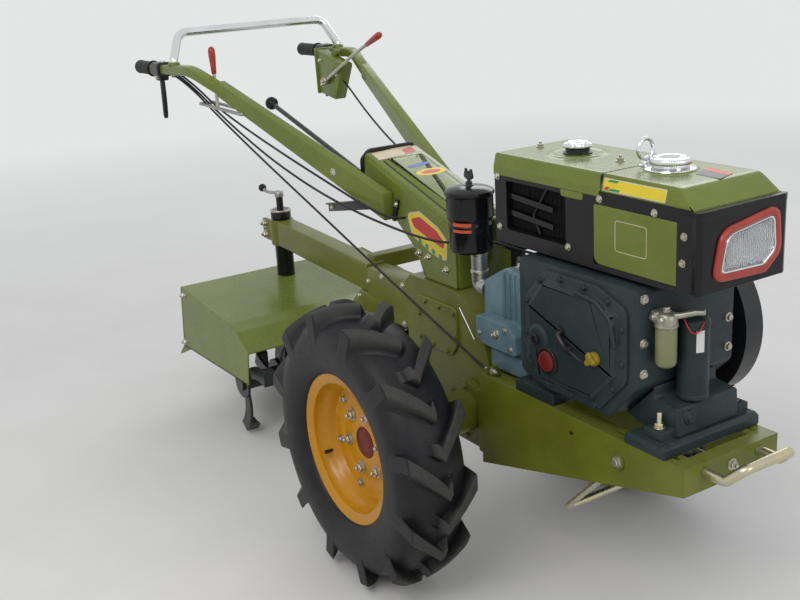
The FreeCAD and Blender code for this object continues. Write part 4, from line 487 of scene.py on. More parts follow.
# One pale colour with faint clouds. From 2.2 m to 7 m out it runs over into the backdrop's colour, for those rays.
def makePlain(name, colour, rough):
    material = bpy.data.materials.new(name)
    material.use_nodes = True
    tree = material.node_tree
    shader = tree.nodes["Principled BSDF"]
    where = newNode(tree, "ShaderNodeTexCoord").outputs["Object"]
    clouds = noise(tree, where, 1.6, 6, 0.6)
    darker = tuple(c * 0.94 for c in colour)
    tree.links.new(mixColour(tree, spread(tree, clouds, 0.35, 0.65), colour + (1,), darker + (1,)),
                   shader.inputs["Base Color"])
    shader.inputs["Roughness"].default_value = rough
    away = newNode(tree, "ShaderNodeVectorMath", {0: where}, operation="LENGTH").outputs["Value"]
    share = times(tree, spread(tree, away, 2.2, 7.0), paleRays(tree))
    plain = newNode(tree, "ShaderNodeEmission", {"Color": backdrop, "Strength": 1.0}).outputs[0]
    mixed = newNode(tree, "ShaderNodeMixShader", {0: share, 1: shader.outputs[0], 2: plain})
    tree.links.new(mixed.outputs[0], tree.nodes["Material Output"].inputs["Surface"])
    return material


floorMesh = bpy.data.meshes.new("floor")
floorMesh.from_pydata([(-14, -14, 0), (14, -14, 0), (14, 14, 0), (-14, 14, 0)], [], [(0, 1, 2, 3)])
floorMesh.materials.append(makePlain("floorPaint", (0.70, 0.69, 0.67), 0.70))
floor = bpy.data.objects.new("floor", floorMesh)
bpy.context.scene.collection.objects.link(floor)

world = bpy.data.worlds.new("studio")
bpy.context.scene.world = world
world.use_nodes = True
sky = world.node_tree
sky.nodes.clear()
upward = newNode(sky, "ShaderNodeSeparateXYZ", {0: newNode(sky, "ShaderNodeTexCoord").outputs["Generated"]}).outputs[2]
glow = mixColour(sky, spread(sky, upward, -0.1, 0.7), (0.27, 0.27, 0.27, 1), (0.74, 0.76, 0.79, 1))
seen = mixColour(sky, paleRays(sky), glow, backdrop)
background = newNode(sky, "ShaderNodeBackground", {"Color": seen, "Strength": 1.0})
sky.links.new(background.outputs[0], newNode(sky, "ShaderNodeOutputWorld").inputs[0])


def addLamp(name, place, target, size, power, colour=(1, 1, 1)):
    lamp = bpy.data.lights.new(name, "AREA")
    lamp.shape = "RECTANGLE"
    lamp.size, lamp.size_y = size
    lamp.energy = power
    lamp.color = colour
    holder = bpy.data.objects.new(name, lamp)
    holder.location = place
    holder.rotation_euler = (Vector(target) - Vector(place)).to_track_quat("-Z", "Y").to_euler()
    bpy.context.scene.collection.objects.link(holder)


addLamp("key", (1.6, -3.0, 3.6), (0, 0, 0.5), (2.4, 1.6), 70, (1.0, 0.98, 0.95))
addLamp("front", (4.2, 0.6, 2.2), (0, 0, 0.5), (2.0, 1.4), 28)
addLamp("rear", (-2.6, 2.8, 2.8), (0, 0, 0.6), (2.4, 1.4), 28, (0.97, 0.98, 1.0))

cameraData = bpy.data.cameras.new("camera")
cameraData.sensor_width = 36
cameraData.lens = 48.90
cameraData.clip_end = 60
camera = bpy.data.objects.new("camera", cameraData)
yaw, pitch, roll = (math.radians(a) for a in (148.6, -17.8, -3.6))
ahead = Vector((math.cos(pitch) * math.cos(yaw), math.cos(pitch) * math.sin(yaw), math.sin(pitch)))
flat = ahead.cross(Vector((0, 0, 1))).normalized()
above = flat.cross(ahead)
right = flat * math.cos(roll) + above * math.sin(roll)
top = above * math.cos(roll) - flat * math.sin(roll)
camera.matrix_world = Matrix.Translation((1.9337, -1.4522, 1.3585)) @ Matrix((right, top, -ahead)).transposed().to_4x4()
bpy.context.scene.collection.objects.link(camera)
bpy.context.scene.camera = camera
bpy.context.scene.view_settings.view_transform = "Standard"
print("stage and camera set")


# ---- wheels, built for the right side about the axle and mirrored for the left
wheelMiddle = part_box("tyre_right")[0] + (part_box("tyre_right")[1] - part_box("tyre_right")[0]) / 2
axleZ = wheelMiddle.z * 1000
trackHalf = -wheelMiddle.y * 1000
tyreRadius = axleZ
lugsPerSide = 12


def wheelPoints(radius, angle, outward, mirror):
    """Places points given by radius, angle from straight ahead and distance outboard of the wheel's middle."""
    side = 1 if mirror else -1
    return np.stack([radius * np.cos(angle), side * (trackHalf + outward), axleZ + radius * np.sin(angle)], -1)


def tyreSection():
    """Half a section from the crown to the bead: where the carcass lies, and where the top of a lug lies.

    The carcass is a superellipse above the widest point and an ellipse below it. A lug's profile is a flat crown
    arc, a sharp shoulder and a side face that runs down into the carcass.
    """
    crown = np.linspace(0, 0.5, 21)[:-1]
    corner = np.array([0.492, 0.5, 0.512])
    face = np.linspace(0.535, 0.72, 8)
    wall = np.linspace(0.74, 1.0, 15)
    share = np.concatenate([crown, corner, face, wall])
    lean = np.radians(np.interp(share, [0, 0.5, 0.72, 0.78], [90, 24, 4, 0]))
    power = 2 / 2.5
    carcassOut = 82.5 * np.cos(lean) ** power
    carcassUp = 232 + 64 * np.sin(lean) ** power
    below = np.clip((share - 0.78) / 0.22, 0, 1) * np.pi / 2
    carcassOut = np.where(share > 0.78, 57 + 25.5 * np.cos(below), carcassOut)
    carcassUp = np.where(share > 0.78, 232 - 61 * np.sin(below), carcassUp)
    lugOut = np.interp(share, [0, 0.492, 0.5, 0.512, 0.72, 0.78], [0, 76.5, 78.2, 78.9, 82.4, 82.5])
    lugUp = np.where(share <= 0.492, tyreRadius - 15 * (lugOut / 78.5) ** 2,
                     np.interp(share, [0.492, 0.5, 0.512, 0.72, 0.78], [308.7, 307.2, 304, 248, 232]))
    onTread = np.clip((0.74 - share) / 0.05, 0, 1)
    return share, carcassOut, carcassUp, lugOut, lugUp, onTread


def addTyre(name, mirror, body, node):
    """A tyre as a grid of swept lines by section places. The lines crowd at the flanks of the lugs."""
    share, carcassOut, carcassUp, lugOut, lugUp, onTread = tyreSection()
    halfPitch = np.pi / lugsPerSide
    place = np.array([-1, -0.88, -0.75, -0.64, -0.60, -0.56, -0.53, -0.49, -0.44, -0.28, -0.12,
                      0.04, 0.20, 0.36, 0.44, 0.49, 0.53, 0.56, 0.60, 0.64, 0.76, 0.88])
    raised = np.interp(np.abs(place), [0, 0.44, 0.49, 0.53, 0.56, 0.60, 0.64], [1, 1, 0.985, 0.93, 0.80, 0.30, 0])
    rows, dusts = [], []
    signs = np.concatenate([np.ones(len(share)), -np.ones(len(share) - 1)])
    order = np.concatenate([np.arange(len(share)), np.arange(len(share) - 1, 0, -1)])
    out = carcassOut[order] * signs
    lugAcross = lugOut[order] * signs
    sweep = np.radians(15) * (np.abs(lugAcross) / 80) ** 0.85
    halfWide = 13.0 + 5.0 * np.abs(lugAcross) / 80
    for turn in range(2 * lugsPerSide):
        mine = 1 if turn % 2 == 0 else -1
        reach = np.clip((lugAcross * mine + 13) / 5, 0, 1) * onTread[order]
        for spot, up in zip(place, raised):
            shift = np.interp(abs(spot), [0, 0.44, 0.49, 0.53, 0.56, 0.60, 0.64, 1],
                              [0, 0.80, 0.90, 0.97, 1.0, 1.08, 1.25, 99])
            quarter = halfPitch * 300 / 2
            edge = np.where(shift > 50, quarter, shift * halfWide)
            beyond = np.clip((abs(spot) - 0.64) / 0.36, 0, 1)
            edge = np.where(abs(spot) > 0.64, 1.25 * halfWide + beyond * (quarter - 1.25 * halfWide), edge)
            angle = turn * halfPitch + sweep + np.sign(spot) * edge / 300
            mask = up * reach
            radius = carcassUp[order] + mask * np.maximum(lugUp - carcassUp, 0)[order]
            across = out + mask * (lugOut - carcassOut)[order] * signs
            rows.append(wheelPoints(radius, angle, across, mirror))
            dusts.append(np.where(share[order] < 0.5, mask, mask * 0.25))
    shape = gridShape(np.array(rows), around=True, along=True)
    piece = addPiece(name, [shape], body, "tyreRubber", replaces=node, angle=70)
    attribute = piece.data.attributes.new("lugTop", "FLOAT", "POINT")
    attribute.data.foreach_set("value", np.array(dusts).ravel().astype(np.float32))
    return piece


def ringOfBolts(count, circle, start, outward, across, mirror, nut=True):
    """Rows for boltField: bolts on a circle of the wheel, all pointing outboard."""
    rows = []
    for i in range(count):
        angle = np.radians(start + 360 * i / count)
        rows.append((tuple(wheelPoints(circle, angle, outward, mirror)), (0, 1 if mirror else -1, 0), across, nut))
    return rows


rimProfile = [(36, 1), (70, 1), (84, 1.5), (100, 0.2), (120, 0.5), (131, 1), (131, -9), (134, -14), (141, -17),
              (141, -38), (147, -44), (147, -57), (171, -62), (173, -60.5), (173.4, -57.5), (170, -54), (153, -51.5),
              (152.2, -38), (142, -16), (142, 20), (152.2, 38), (153, 51.5), (170, 54), (173.4, 57.5),
              (173, 60.5), (171, 62), (167, 61), (152, 57.5), (148, 55), (146, 38), (138, 29), (133, 22), (129.5, 12), (127, 7.6),
              (120, 6.2), (98, 6.0), (93, 4.6), (84, 4.4), (79, 6.0), (36, 6.0)]
hubProfile = [(0, 9.2), (20, 9), (25, 8.2), (28, 6.2), (30.5, 5.8), (31.5, 6.0), (33, 8.2), (35, 8.4), (35.6, 7.2), (35.6, 1.2),
              (92, 1), (92, -13), (46, -34), (39, -128), (20, -138), (20, -194), (0, -194)]


def addWheel(sideName, mirror):
    body = "wheel_" + sideName
    outboard = (0, 1 if mirror else -1, 0)
    middle = (0, trackHalf if mirror else -trackHalf, axleZ)
    addTyre("tyreLugged_" + sideName, mirror, body, "tyre_" + sideName)
    addPiece("rimDisc_" + sideName, [latheShape(rimProfile, middle, outboard, 120, closed=True)], body,
             "rimYellow", replaces="rim_" + sideName, bevel=1.2)
    addPiece("hubCap_" + sideName, [latheShape(hubProfile, middle, outboard, 72)], body, "hubRed",
             replaces="hub_" + sideName, bevel=1.0)
    rows = ringOfBolts(6, 71, 12, 6.2, 19, mirror) + ringOfBolts(6, 112, 15, 6.4, 13, mirror)
    addPiece("wheelBolts_" + sideName, [boltField(rows)], body, "boltZinc")
    spot = np.radians(205)
    foot = wheelPoints(143, spot, 20, mirror)
    elbow = wheelPoints(136, spot, 28, mirror)
    end = wheelPoints(126, spot, 46, mirror)
    addPiece("valve_" + sideName, [rodShape([foot, elbow, end], 3.6, 8, 12),
                                   latheShape([(4.6, 0), (4.8, 8), (3.6, 10)], end - (end - elbow) * 0.3,
                                              tuple(end - elbow), 12)],
             body, ["softRubber", "blackPlastic"])


for sideName, mirror in (("right", False), ("left", True)):
    addWheel(sideName, mirror)
print("wheels made")


# Hood, tank and front, with the frame's own lengths and levels in millimetres
hood = {
    "half": 107, "rear": 134, "coverFront": 458, "seam": 460, "tankFront": 692, "frontRun": 39,
    "coverLip": 904, "tankLip": 915, "shoulder": 920, "top": 951, "lean": 8,
    "radiatorCap": 277, "radiatorRing": 59, "fuelCap": 530, "fuelRing": 51,
}


# A closed pressing. Its section stands up to the shoulder, leans in to the top's edge and crosses over. The height
# falls along a ramp at the front. A ring is pressed up round the filler, and both ends shrink in to a soft edge.
def pressedHood(rear, front, lip, run, ringX, ringRadius):
    ends = np.array([0, 0.4, 1.2, 2.4, 4.0])
    along = np.unique(np.concatenate([rear + ends, front - ends, np.linspace(rear + 6, front - 6, 110),
                                      np.linspace(front - run - 12, front - run + 12, 13) if run else [rear + 6]]))
    near = np.minimum(along - rear, (front - along) if not run else 99)
    shrink = np.interp(near, ends, [2.6, 1.5, 0.7, 0.15, 0])
    ramp = (hood["top"] - hood["shoulder"] + 4) / run if run else 0
    past = along - (front - run)
    height = hood["top"] - 3 - ramp * 0.5 * (past + np.sqrt(past ** 2 + 30)) * (run > 0) - shrink
    edge = hood["half"] - hood["lean"] * np.clip((height - hood["shoulder"]) / 31, 0, 1) - shrink
    half = hood["half"] - shrink
    bend = np.minimum(hood["shoulder"], height - 3)
    low = np.full_like(along, lip)
    corners = np.stack([np.stack([-half, low], -1), np.stack([-half, bend], -1), np.stack([-edge, height], -1),
                        np.stack([edge, height], -1), np.stack([half, bend], -1), np.stack([half, low], -1)], 1)
    into = corners[:, :-2] - corners[:, 1:-1]
    out = corners[:, 2:] - corners[:, 1:-1]
    into /= np.linalg.norm(into, axis=-1, keepdims=True)
    out /= np.linalg.norm(out, axis=-1, keepdims=True)
    reach = np.array([1.2, 5.0, 5.0, 1.2])[None, :, None]
    share = np.linspace(0, 1, 7)[None, None, :, None]
    middle = corners[:, 1:-1]
    curve = ((1 - share) ** 2 * (middle + into * reach)[:, :, None] + 2 * share * (1 - share) * middle[:, :, None]
             + share ** 2 * (middle + out * reach)[:, :, None])
    flat = np.linspace(0, 1, 62)[1:-1][None, :, None]
    over = curve[:, 1, -1:] * (1 - flat) + curve[:, 2, :1] * flat
    section = np.concatenate([corners[:, :1], curve[:, 0], curve[:, 1], over, curve[:, 2], curve[:, 3], corners[:, -1:]], 1)
    x = np.broadcast_to(along[:, None], section.shape[:2])
    y, z = section[..., 0], section[..., 1].copy()
    away = np.hypot(x - ringX, y)
    onTop = (z > height[:, None] - 0.3) & (x < front - run - 2)
    z += onTop * (3.0 / (1 + np.exp((away - ringRadius) / 1.6)) - 1.4 / (1 + np.exp((away - ringRadius + 12) / 1.6)))
    return gridShape(np.stack([x, y, z], -1), around=True, capStart=True, capEnd=True)


addPiece("radiatorHood", [pressedHood(hood["rear"], hood["coverFront"], hood["coverLip"], 0, hood["radiatorCap"],
                                      hood["radiatorRing"])],
         "chassis", "oliveGreen", replaces="radiator_cover", angle=50)
addPiece("tankTop", [pressedHood(hood["seam"], hood["tankFront"], hood["tankLip"], hood["frontRun"], hood["fuelCap"],
                                 hood["fuelRing"])],
         "chassis", "oliveGreen", replaces="fuel_tank", angle=50)

sides = {
    "low": 762, "top": 904, "rear": 138, "front": 651, "windowRear": 176, "windowFront": 361, "windowLow": 792,
    "windowTop": 895, "greenRear": 441, "greenFront": 650, "greenLow": 774, "greenTop": 889, "bandTop": 915,
    "tabRear": 348, "tabFront": 411, "depth": 20,
}


# A rectangle with an arc at each corner, from two corners and one radius or four
def roundedBox(rear, low, front, top, radius):
    return roundedOutline([(rear, low), (front, low), (front, top), (rear, top)], radius, 8)


# One side: the black frame round its window, the recess behind it with fins, slats and a stay, and the green panel
def hoodSide(side):
    face, deep = side * hood["half"], side * (hood["half"] - sides["depth"])
    window = (sides["windowRear"], sides["windowLow"], sides["windowFront"], sides["windowTop"])
    inner = roundedBox(*window, 6)
    outer = roundedBox(sides["rear"], sides["low"], sides["greenRear"] - 1, sides["top"] - 0.5, [7, 2, 1, 1])
    frameShapes = [ringShape(outer, inner, face - side * 0.4, deep)]
    back = roundedBox(window[0] - 3, window[1] - 3, window[2] + 3, window[3] + 3, 4)
    frameShapes.append(prismShape(back, deep - side * 0.2, deep - side * 5))
    x = np.linspace(window[0] + 3, window[2] - 3, 46)
    fins = [prismShape(roundedBox(place - 0.5, window[1] + 1, place + 0.5, window[3] - 1, 0.2), deep, deep + side * 4)
            for place in x]
    slats = []
    for level in (0.28, 0.62):
        z = window[1] + (window[3] - window[1]) * level
        line = [(window[0] + 1, face - side * 9, z + 7), (window[2] - 46, face - side * 9, z - 3)]
        slats.append(sweptShape(line, roundedOutline([(-1.2, -6), (1.2, -6), (1.2, 6), (-1.2, 6)], 1, 4)))
    stay = rodShape([(window[0] + 95, face - side * 12, window[1] + 4), (window[0] + 74, face - side * 12, window[1] + 40),
                     (window[0] + 118, face - side * 12, window[3] - 3)], 3.2, 12, 12)
    green = roundedBox(sides["greenRear"], sides["greenLow"], sides["greenFront"], sides["greenTop"], [20, 2, 2, 3])
    tab = roundedBox(sides["tabRear"], sides["greenTop"] + 1, sides["tabFront"], sides["top"] + 1, [5, 5, 0.3, 0.3])
    band = roundedBox(sides["greenRear"] - 2, sides["greenTop"] + 0.6, hood["tankFront"] - 0.4, sides["bandTop"] - 0.4, 1)
    below = roundedBox(sides["greenRear"] - 2, sides["low"], sides["front"], sides["greenLow"] - 1, [2, 2, 0.5, 0.5])
    black = frameShapes + fins + slats + [stay, prismShape(band, face - side * 0.2, face - side * 8),
                                          prismShape(below, face - side * 0.4, face - side * 20)]
    painted = [prismShape(green, face - side * 0.6, face - side * 20), prismShape(tab, face + 0 * side, face - side * 3)]
    return merged(*black), merged(*painted)


sideBlack, sideGreen = [], []
for side in (-1, 1):
    black, green = hoodSide(side)
    sideBlack.append(black)
    sideGreen.append(green)
core = [boxShape((sides["rear"] + 2, 24 - hood["half"], sides["low"] + 1), (sides["greenRear"] - 6, hood["half"] - 24,
                                                                           sides["top"] - 1)),
        boxShape((242, -78, 753), (436, 78, sides["low"] + 2)),
        boxShape((sides["greenRear"] + 2, 22 - hood["half"], sides["low"] + 3),
                 (sides["front"] - 2, hood["half"] - 22, sides["top"] + 8))]
rearFrame = ringShape([(y, z) for y, z in roundedBox(2 - hood["half"], sides["low"], hood["half"] - 2, sides["top"] - 1, 5)],
                      [(y, z) for y, z in roundedBox(34 - hood["half"], sides["low"] + 22, hood["half"] - 34,
                                                     sides["top"] - 18, 8)],
                      sides["rear"], sides["rear"] + 6, "x")
addPiece("radiatorFrames", [merged(*sideBlack), merged(*core), rearFrame], "chassis",
         ["glossBlack", "blackPlastic", "glossBlack"], replaces="radiator", bevel=0.8)
addPiece("tankPanels", [merged(*sideGreen)], "chassis", "oliveGreen", bevel=1.2)
seal = ringShape([(y, z) for y, z in roundedBox(3 - hood["half"], 905, hood["half"] - 3, 947, [1, 1, 8, 8])],
                 [(y, z) for y, z in roundedBox(12 - hood["half"], 907, hood["half"] - 12, 939, [1, 1, 8, 8])],
                 hood["coverFront"] - 1, hood["seam"] + 1, "x")
addPiece("hoodSeal", [seal], "chassis", "softRubber", bevel=0.4)

# The black front: a shell that widens to its face, with a lip over it, and the lamp
front = {
    "rear": 651, "face": 706, "low": 768, "lipLow": 902, "lipTop": 914, "half": 115, "lampY": 5, "lampZ": 840,
    "lampHalfWide": 87, "lampHalfTall": 60,
}
plan = [(front["rear"], -hood["half"]), (688, -hood["half"]), (701, 1 - front["half"]), (front["face"], 12 - front["half"]),
        (front["face"], front["half"] - 12), (701, front["half"] - 1), (688, hood["half"]), (front["rear"], hood["half"])]
lipPlan = [(hood["tankFront"], -front["half"] + 6), (701, -front["half"]), (front["face"], 12 - front["half"]),
           (front["face"], front["half"] - 12), (701, front["half"]), (hood["tankFront"], front["half"] - 6)]
shell = prismShape(roundedOutline(plan, [1, 12, 7, 5, 5, 7, 12, 1], 8), front["low"], front["lipLow"], "z")
lipShape = prismShape(roundedOutline(lipPlan, [1, 5, 6, 6, 5, 1], 8), front["lipLow"] - 1, front["lipTop"], "z")
addPiece("frontShell", [merged(shell, lipShape)], "chassis", "glossBlack", replaces="fascia", bevel=2.6,
         segments=4)


# The lamp's outline, drawn in by so much on every side. Its outer top corner stands highest and widest.
def lampLine(shrink, x):
    corners = [(-1.0, -0.9, 24), (-0.78, 0.62, 40), (0.9, 1.0, 26), (1.0, -0.45, 34), (0.55, -1.0, 24)]
    wide, tall = front["lampHalfWide"] - shrink, front["lampHalfTall"] - shrink
    outline = roundedOutline([(u * wide, v * tall) for u, v, radius in corners],
                             [max(radius - shrink * 0.7, 8) for u, v, radius in corners], 14)
    return np.column_stack([np.full(len(outline), x), outline[:, 0] + front["lampY"], outline[:, 1] + front["lampZ"]])


# Outlines of growing inset, each at its own depth, make a ring or a dish
def lampForm(rows, closed):
    return gridShape(np.array([lampLine(shrink, x) for shrink, x in rows]), around=True, along=closed,
                     capStart=not closed, capEnd=not closed)


surround = lampForm([(0, 706.3), (0.3, 709.5), (1.6, 712), (3.6, 713.2), (11, 713.3), (14, 712.4), (15.6, 710.4),
                     (16, 706.3)], True)
brightRim = lampForm([(15.5, 706.4), (15.6, 711.4), (16.6, 713.2), (18.6, 713.6), (20.4, 712.6), (21, 710), (21, 706.4)], True)
dish = lampForm([(19.5, 706.3), (19.5, 711), (22, 710.4), (30, 708.6), (44, 707.2), (56, 706.8)], False)
lens = lampForm([(20, 711.6), (20, 713.0), (22, 714.4), (27, 715.3), (38, 715.9), (52, 716.2), (58, 716.2)], False)
addPiece("lampSurround", [surround, brightRim], "chassis", ["lampRed", "chromePlate"],
         replaces="lamp_surround", angle=50)
addPiece("lampReflector", [dish], "chassis", "lampSilver", angle=50)
addPiece("lampGlass", [lens], "chassis", "lampGlass", replaces="lamp_lens", angle=50)
print("hood and lamp made")

# Fillers, lifting eye, bolts and trim on the hood
caps = {"radiatorX": 277, "fuelX": 530, "seat": 950.6, "eyeX": 467, "eyeRadius": 19, "eyeThick": 4.6}


# A cap turned from its profile. Its radius swells and shrinks round the rim, as many times as it has grips.
def grippedCap(profile, centre, grips, depth, low, high, steps):
    points, faces = latheShape(profile, (0, 0, 0), (0, 0, 1), steps)
    angle = np.arctan2(points[:, 1], points[:, 0])
    inBand = np.clip((points[:, 2] - low) / 1.5, 0, 1) * np.clip((high - points[:, 2]) / 1.5, 0, 1)
    inBand *= np.clip((np.hypot(points[:, 0], points[:, 1]) - 18) / 6, 0, 1)
    scale = 1 - depth * inBand * (0.5 + 0.5 * np.cos(grips * angle))
    points[:, :2] *= scale[:, None]
    return points + np.array(centre, float), faces


radiatorCap = grippedCap([(0, 22), (9, 22), (12, 20), (17, 19.4), (20, 20.4), (26, 20.6), (30, 18.4), (31, 15), (30.6, 12.4),
                          (28, 11.6), (0, 11.6)], (caps["radiatorX"], 0, caps["seat"]), 8, 0.09, 11, 20, 96)
radiatorNeck = latheShape([(0, 12), (25.5, 12), (25.8, 10), (24, 8), (25.5, 6), (24, 4), (26, 2), (30, 0.8), (30, 0), (0, 0)],
                          (caps["radiatorX"], 0, caps["seat"]), steps=64)
fuelCap = grippedCap([(0, 15.4), (12, 15.2), (17, 15.8), (23, 19.4), (29, 21.3), (34, 21.2), (36.8, 19.4), (38, 16.5),
                      (38, 11), (37, 8.6), (34, 7.6), (0, 7.6)], (caps["fuelX"], 0, caps["seat"]), 60, 0.022, 7.5, 18.5, 240)
fuelNeck = latheShape([(0, 8), (33, 8), (33.5, 5), (40, 3.6), (47, 2.4), (48, 0.6), (47, 0), (0, 0)],
                      (caps["fuelX"], 0, caps["seat"]), steps=72)
addPiece("radiatorFiller", [radiatorCap, radiatorNeck], "chassis", ["chromePlate", "darkPaint"],
         replaces="radiator_cap", angle=40)
addPiece("fuelFiller", [fuelCap, fuelNeck], "chassis", "chromePlate", replaces="fuel_cap", angle=40)
turn = np.linspace(0, 2 * np.pi, 56, endpoint=False)
tube = np.linspace(0, 2 * np.pi, 16, endpoint=False)
eyeZ = hood["top"] + caps["eyeRadius"] + 10
around = caps["eyeRadius"] + caps["eyeThick"] * 0.87 * np.cos(tube)[None]
eyeRing = gridShape(np.stack([np.broadcast_to(caps["eyeX"] + caps["eyeThick"] * 0.87 * np.sin(tube)[None], (56, 16)),
                              around * np.cos(turn)[:, None], eyeZ + around * np.sin(turn)[:, None]], -1),
                    around=True, along=True)
eyeFoot = latheShape([(0, 9), (7, 9), (8, 7), (8.6, 3), (12, 1.6), (12, 0), (0, 0)], (caps["eyeX"], 0, hood["top"] - 3), steps=32)
addPiece("liftingEye", [eyeRing, eyeFoot], "chassis", "chromePlate", replaces="lifting_eye", angle=50)
sideBolts = [(149, 901), (153, 795), (369, 791), (458, 900), (598, 897), (668, 867), (665, 819)]
rows = [((x, side * (hood["half"] - 0.1), z), (0, side, 0), 9.5, False) for x, z in sideBolts for side in (-1, 1)]
rows += [((400, 0, hood["top"] - 3), (0, 0, 1), 12, True), ((160, 0, hood["top"] - 3), (0, 0, 1), 12, True)]
addPiece("hoodBolts", [boltField(rows)], "chassis", "boltZinc", angle=30)

tags = {"rear": 466, "front": 623, "low": 918, "top": 941, "plate": (498, 808, 579, 867)}


# A thin sheet on the hood's leaning side. It follows that side from the shoulder up, a little proud of it.
def onSide(outline, proud, side):
    outline = np.array(outline, float)
    inward = hood["lean"] * np.clip((outline[:, 1] - hood["shoulder"]) / 31, 0, 1)
    rows = [np.column_stack([outline[:, 0], side * (hood["half"] - inward + level), outline[:, 1]]) for level in (-0.5, proud)]
    return gridShape(np.array(rows), around=True, capStart=True, capEnd=True)


tagShapes, tagFinish = [], []
for side in (-1, 1):
    rear, ahead, low, top = tags["rear"], tags["front"], tags["low"], tags["top"]
    for outline, proud, finish in (
            (roundedBox(rear, low, ahead, top, 1.5), 0.25, "labelWhite"),
            (roundedBox(rear + 1.6, low + 1.4, ahead - 1.6, top - 1.4, 1), 0.45, "labelYellow"),
            ([(rear + 16, top - 1.6), (rear + 40, top - 1.6), (rear + 34, top - 6), (rear + 10, top - 6)], 0.6, "labelGreen"),
            ([(rear + 14, low + 1.6), (rear + 42, low + 1.6), (rear + 46, low + 6), (rear + 20, low + 6)], 0.6, "labelGreen"),
            ([(rear + 3, low + 2), (rear + 13, low + 2), (rear + 18, low + 8), (rear + 8, low + 8)], 0.6, "labelRed")):
        tagShapes.append(onSide(outline, proud, side))
        tagFinish.append(finish)
    x0, z0, x1, z1 = tags["plate"]
    tagShapes.append(ringShape(roundedBox(x0, z0, x1, z1, 7), roundedBox(x0 + 1.5, z0 + 1.5, x1 - 1.5, z1 - 1.5, 5.5),
                               side * (hood["half"] - 1), side * (hood["half"] - 0.3)))
    tagFinish.append("labelCream")
patch = np.array([(568.1, 57.8), (634.8, 46.5), (650.6, -2.7), (588.3, 0.0)])
band = np.array([patch[0], patch[1], patch[1] * 0.64 + patch[2] * 0.36, patch[0] * 0.64 + patch[3] * 0.36])
for outline, level, finish in ((patch, 0.3, "darkPaint"), (band, 0.5, "labelOrange")):
    tagShapes.append(prismShape(outline, hood["top"] - 3.4, hood["top"] - 3 + level, "z"))
    tagFinish.append(finish)
addPiece("hoodTags", tagShapes, "chassis", tagFinish, angle=30)
print("hood trim made")


# A flat outline drawn in by so much, each point along its own normal
def drawnIn(outline, by):
    outline = np.array(outline, float)
    along = np.roll(outline, -1, 0) - np.roll(outline, 1, 0)
    along /= np.linalg.norm(along, axis=1)[:, None]
    x, z = outline.T
    turned = np.sign(np.sum(x * np.roll(z, -1) - np.roll(x, -1) * z))
    return outline + np.column_stack([-along[:, 1], along[:, 0]]) * by * turned


# A casting: one outline stacked in levels, drawn in by its own amount at each
def castShape(outline, rows, normal="y"):
    order = {"y": [0, 2, 1], "x": [2, 0, 1], "z": [0, 1, 2]}[normal]
    levels = [np.column_stack([drawnIn(outline, by), np.full(len(outline), level)])[:, order] for by, level in rows]
    return gridShape(np.array(levels), around=True, capStart=True, capEnd=True)


# Both faces of a casting have the same soft edge
def softEdges(low, high, soft=6):
    return [(soft, low), (soft * 0.3, low + soft * 0.3), (0, low + soft), (0, high - soft),
            (soft * 0.3, high - soft * 0.3), (soft, high)]


# Places at equal steps of length along a closed outline
def spacedOut(outline, count, start=0.0):
    closed = np.vstack([outline, outline[:1]])
    length = np.concatenate([[0], np.cumsum(np.linalg.norm(np.diff(closed, axis=0), axis=1))])
    want = (np.arange(count) + start) / count * length[-1]
    return np.column_stack([np.interp(want, length, closed[:, 0]), np.interp(want, length, closed[:, 1])])


# A thin curved sheet on an upright cylinder, between two angles
def wrapped(centre, radius, start, end, low, high, proud):
    angle = np.radians(np.linspace(start, end, 14))
    arc = np.column_stack([np.cos(angle), np.sin(angle)])
    outline = np.concatenate([arc * (radius + proud), arc[::-1] * (radius - 0.5)]) + np.array(centre)
    return prismShape(outline, low, high, "z")


# The engine. Small parts that the photo shows only as dark shapes follow engines of this type.
engine = {
    "case": [(236, 502), (326, 482), (500, 482), (580, 562), (580, 753), (236, 753)],
    "cover": [(266, 542), (311, 494), (484, 494), (558, 570), (558, 713), (480, 743), (326, 743), (266, 673)],
    "head": [(62, 530), (92, 500), (236, 500), (236, 692), (132, 692), (62, 652)],
    "coverFace": -148, "redPlug": (354, 561), "hexPlug": (321, 600), "yellowPlug": (489, 604),
    "can": (612, -18), "canLow": 534.3, "bowl": (604, -80), "bowlLow": 603.7, "filterLow": 684,
}
near = (0, -1, 0)
caseLine = roundedOutline(engine["case"], 16)
frontBolts = [((579.6, side * 112, z), (1, 0, 0), 12, False) for side in (-1, 1) for z in (590, 650, 735)]
addPiece("crankcaseCast", [castShape(caseLine, softEdges(-128, 128, 7)), boltField(frontBolts)], "chassis",
         ["engineGrey", "boltZinc"], replaces="crankcase", angle=40)
coverLine = roundedOutline(engine["cover"], 24, 9)
coverRows = [(0, -126), (0, -134), (0.6, -135.6), (2, -136.4), (17, -137), (19, -138), (20.4, -141), (22, -145), (25, -147.4),
             (30, -148)]
coverBolts = [((x, -136.4, z), near, 11, False) for x, z in spacedOut(drawnIn(coverLine, 9), 13, 0.3)]
ridge = rodShape([(430, -145, 722), (490, -147, 716), (530, -147, 690), (538, -146, 640)], 5, 30)
ring = latheShape([(22.6, 0), (29, 0), (29, 6), (27, 9), (22.6, 9)], (354, -147, 561), near, closed=True)
hump = latheShape([(0, 6), (20, 6), (26, 4), (30, 0), (0, 0)], (321, -147, 600), near)
addPiece("gearCoverCast", [merged(castShape(coverLine, coverRows), ridge, hump), boltField(coverBolts), ring], "chassis",
         ["engineGrey", "engineGrey", "blackPlastic"], replaces="gear_cover", angle=40)

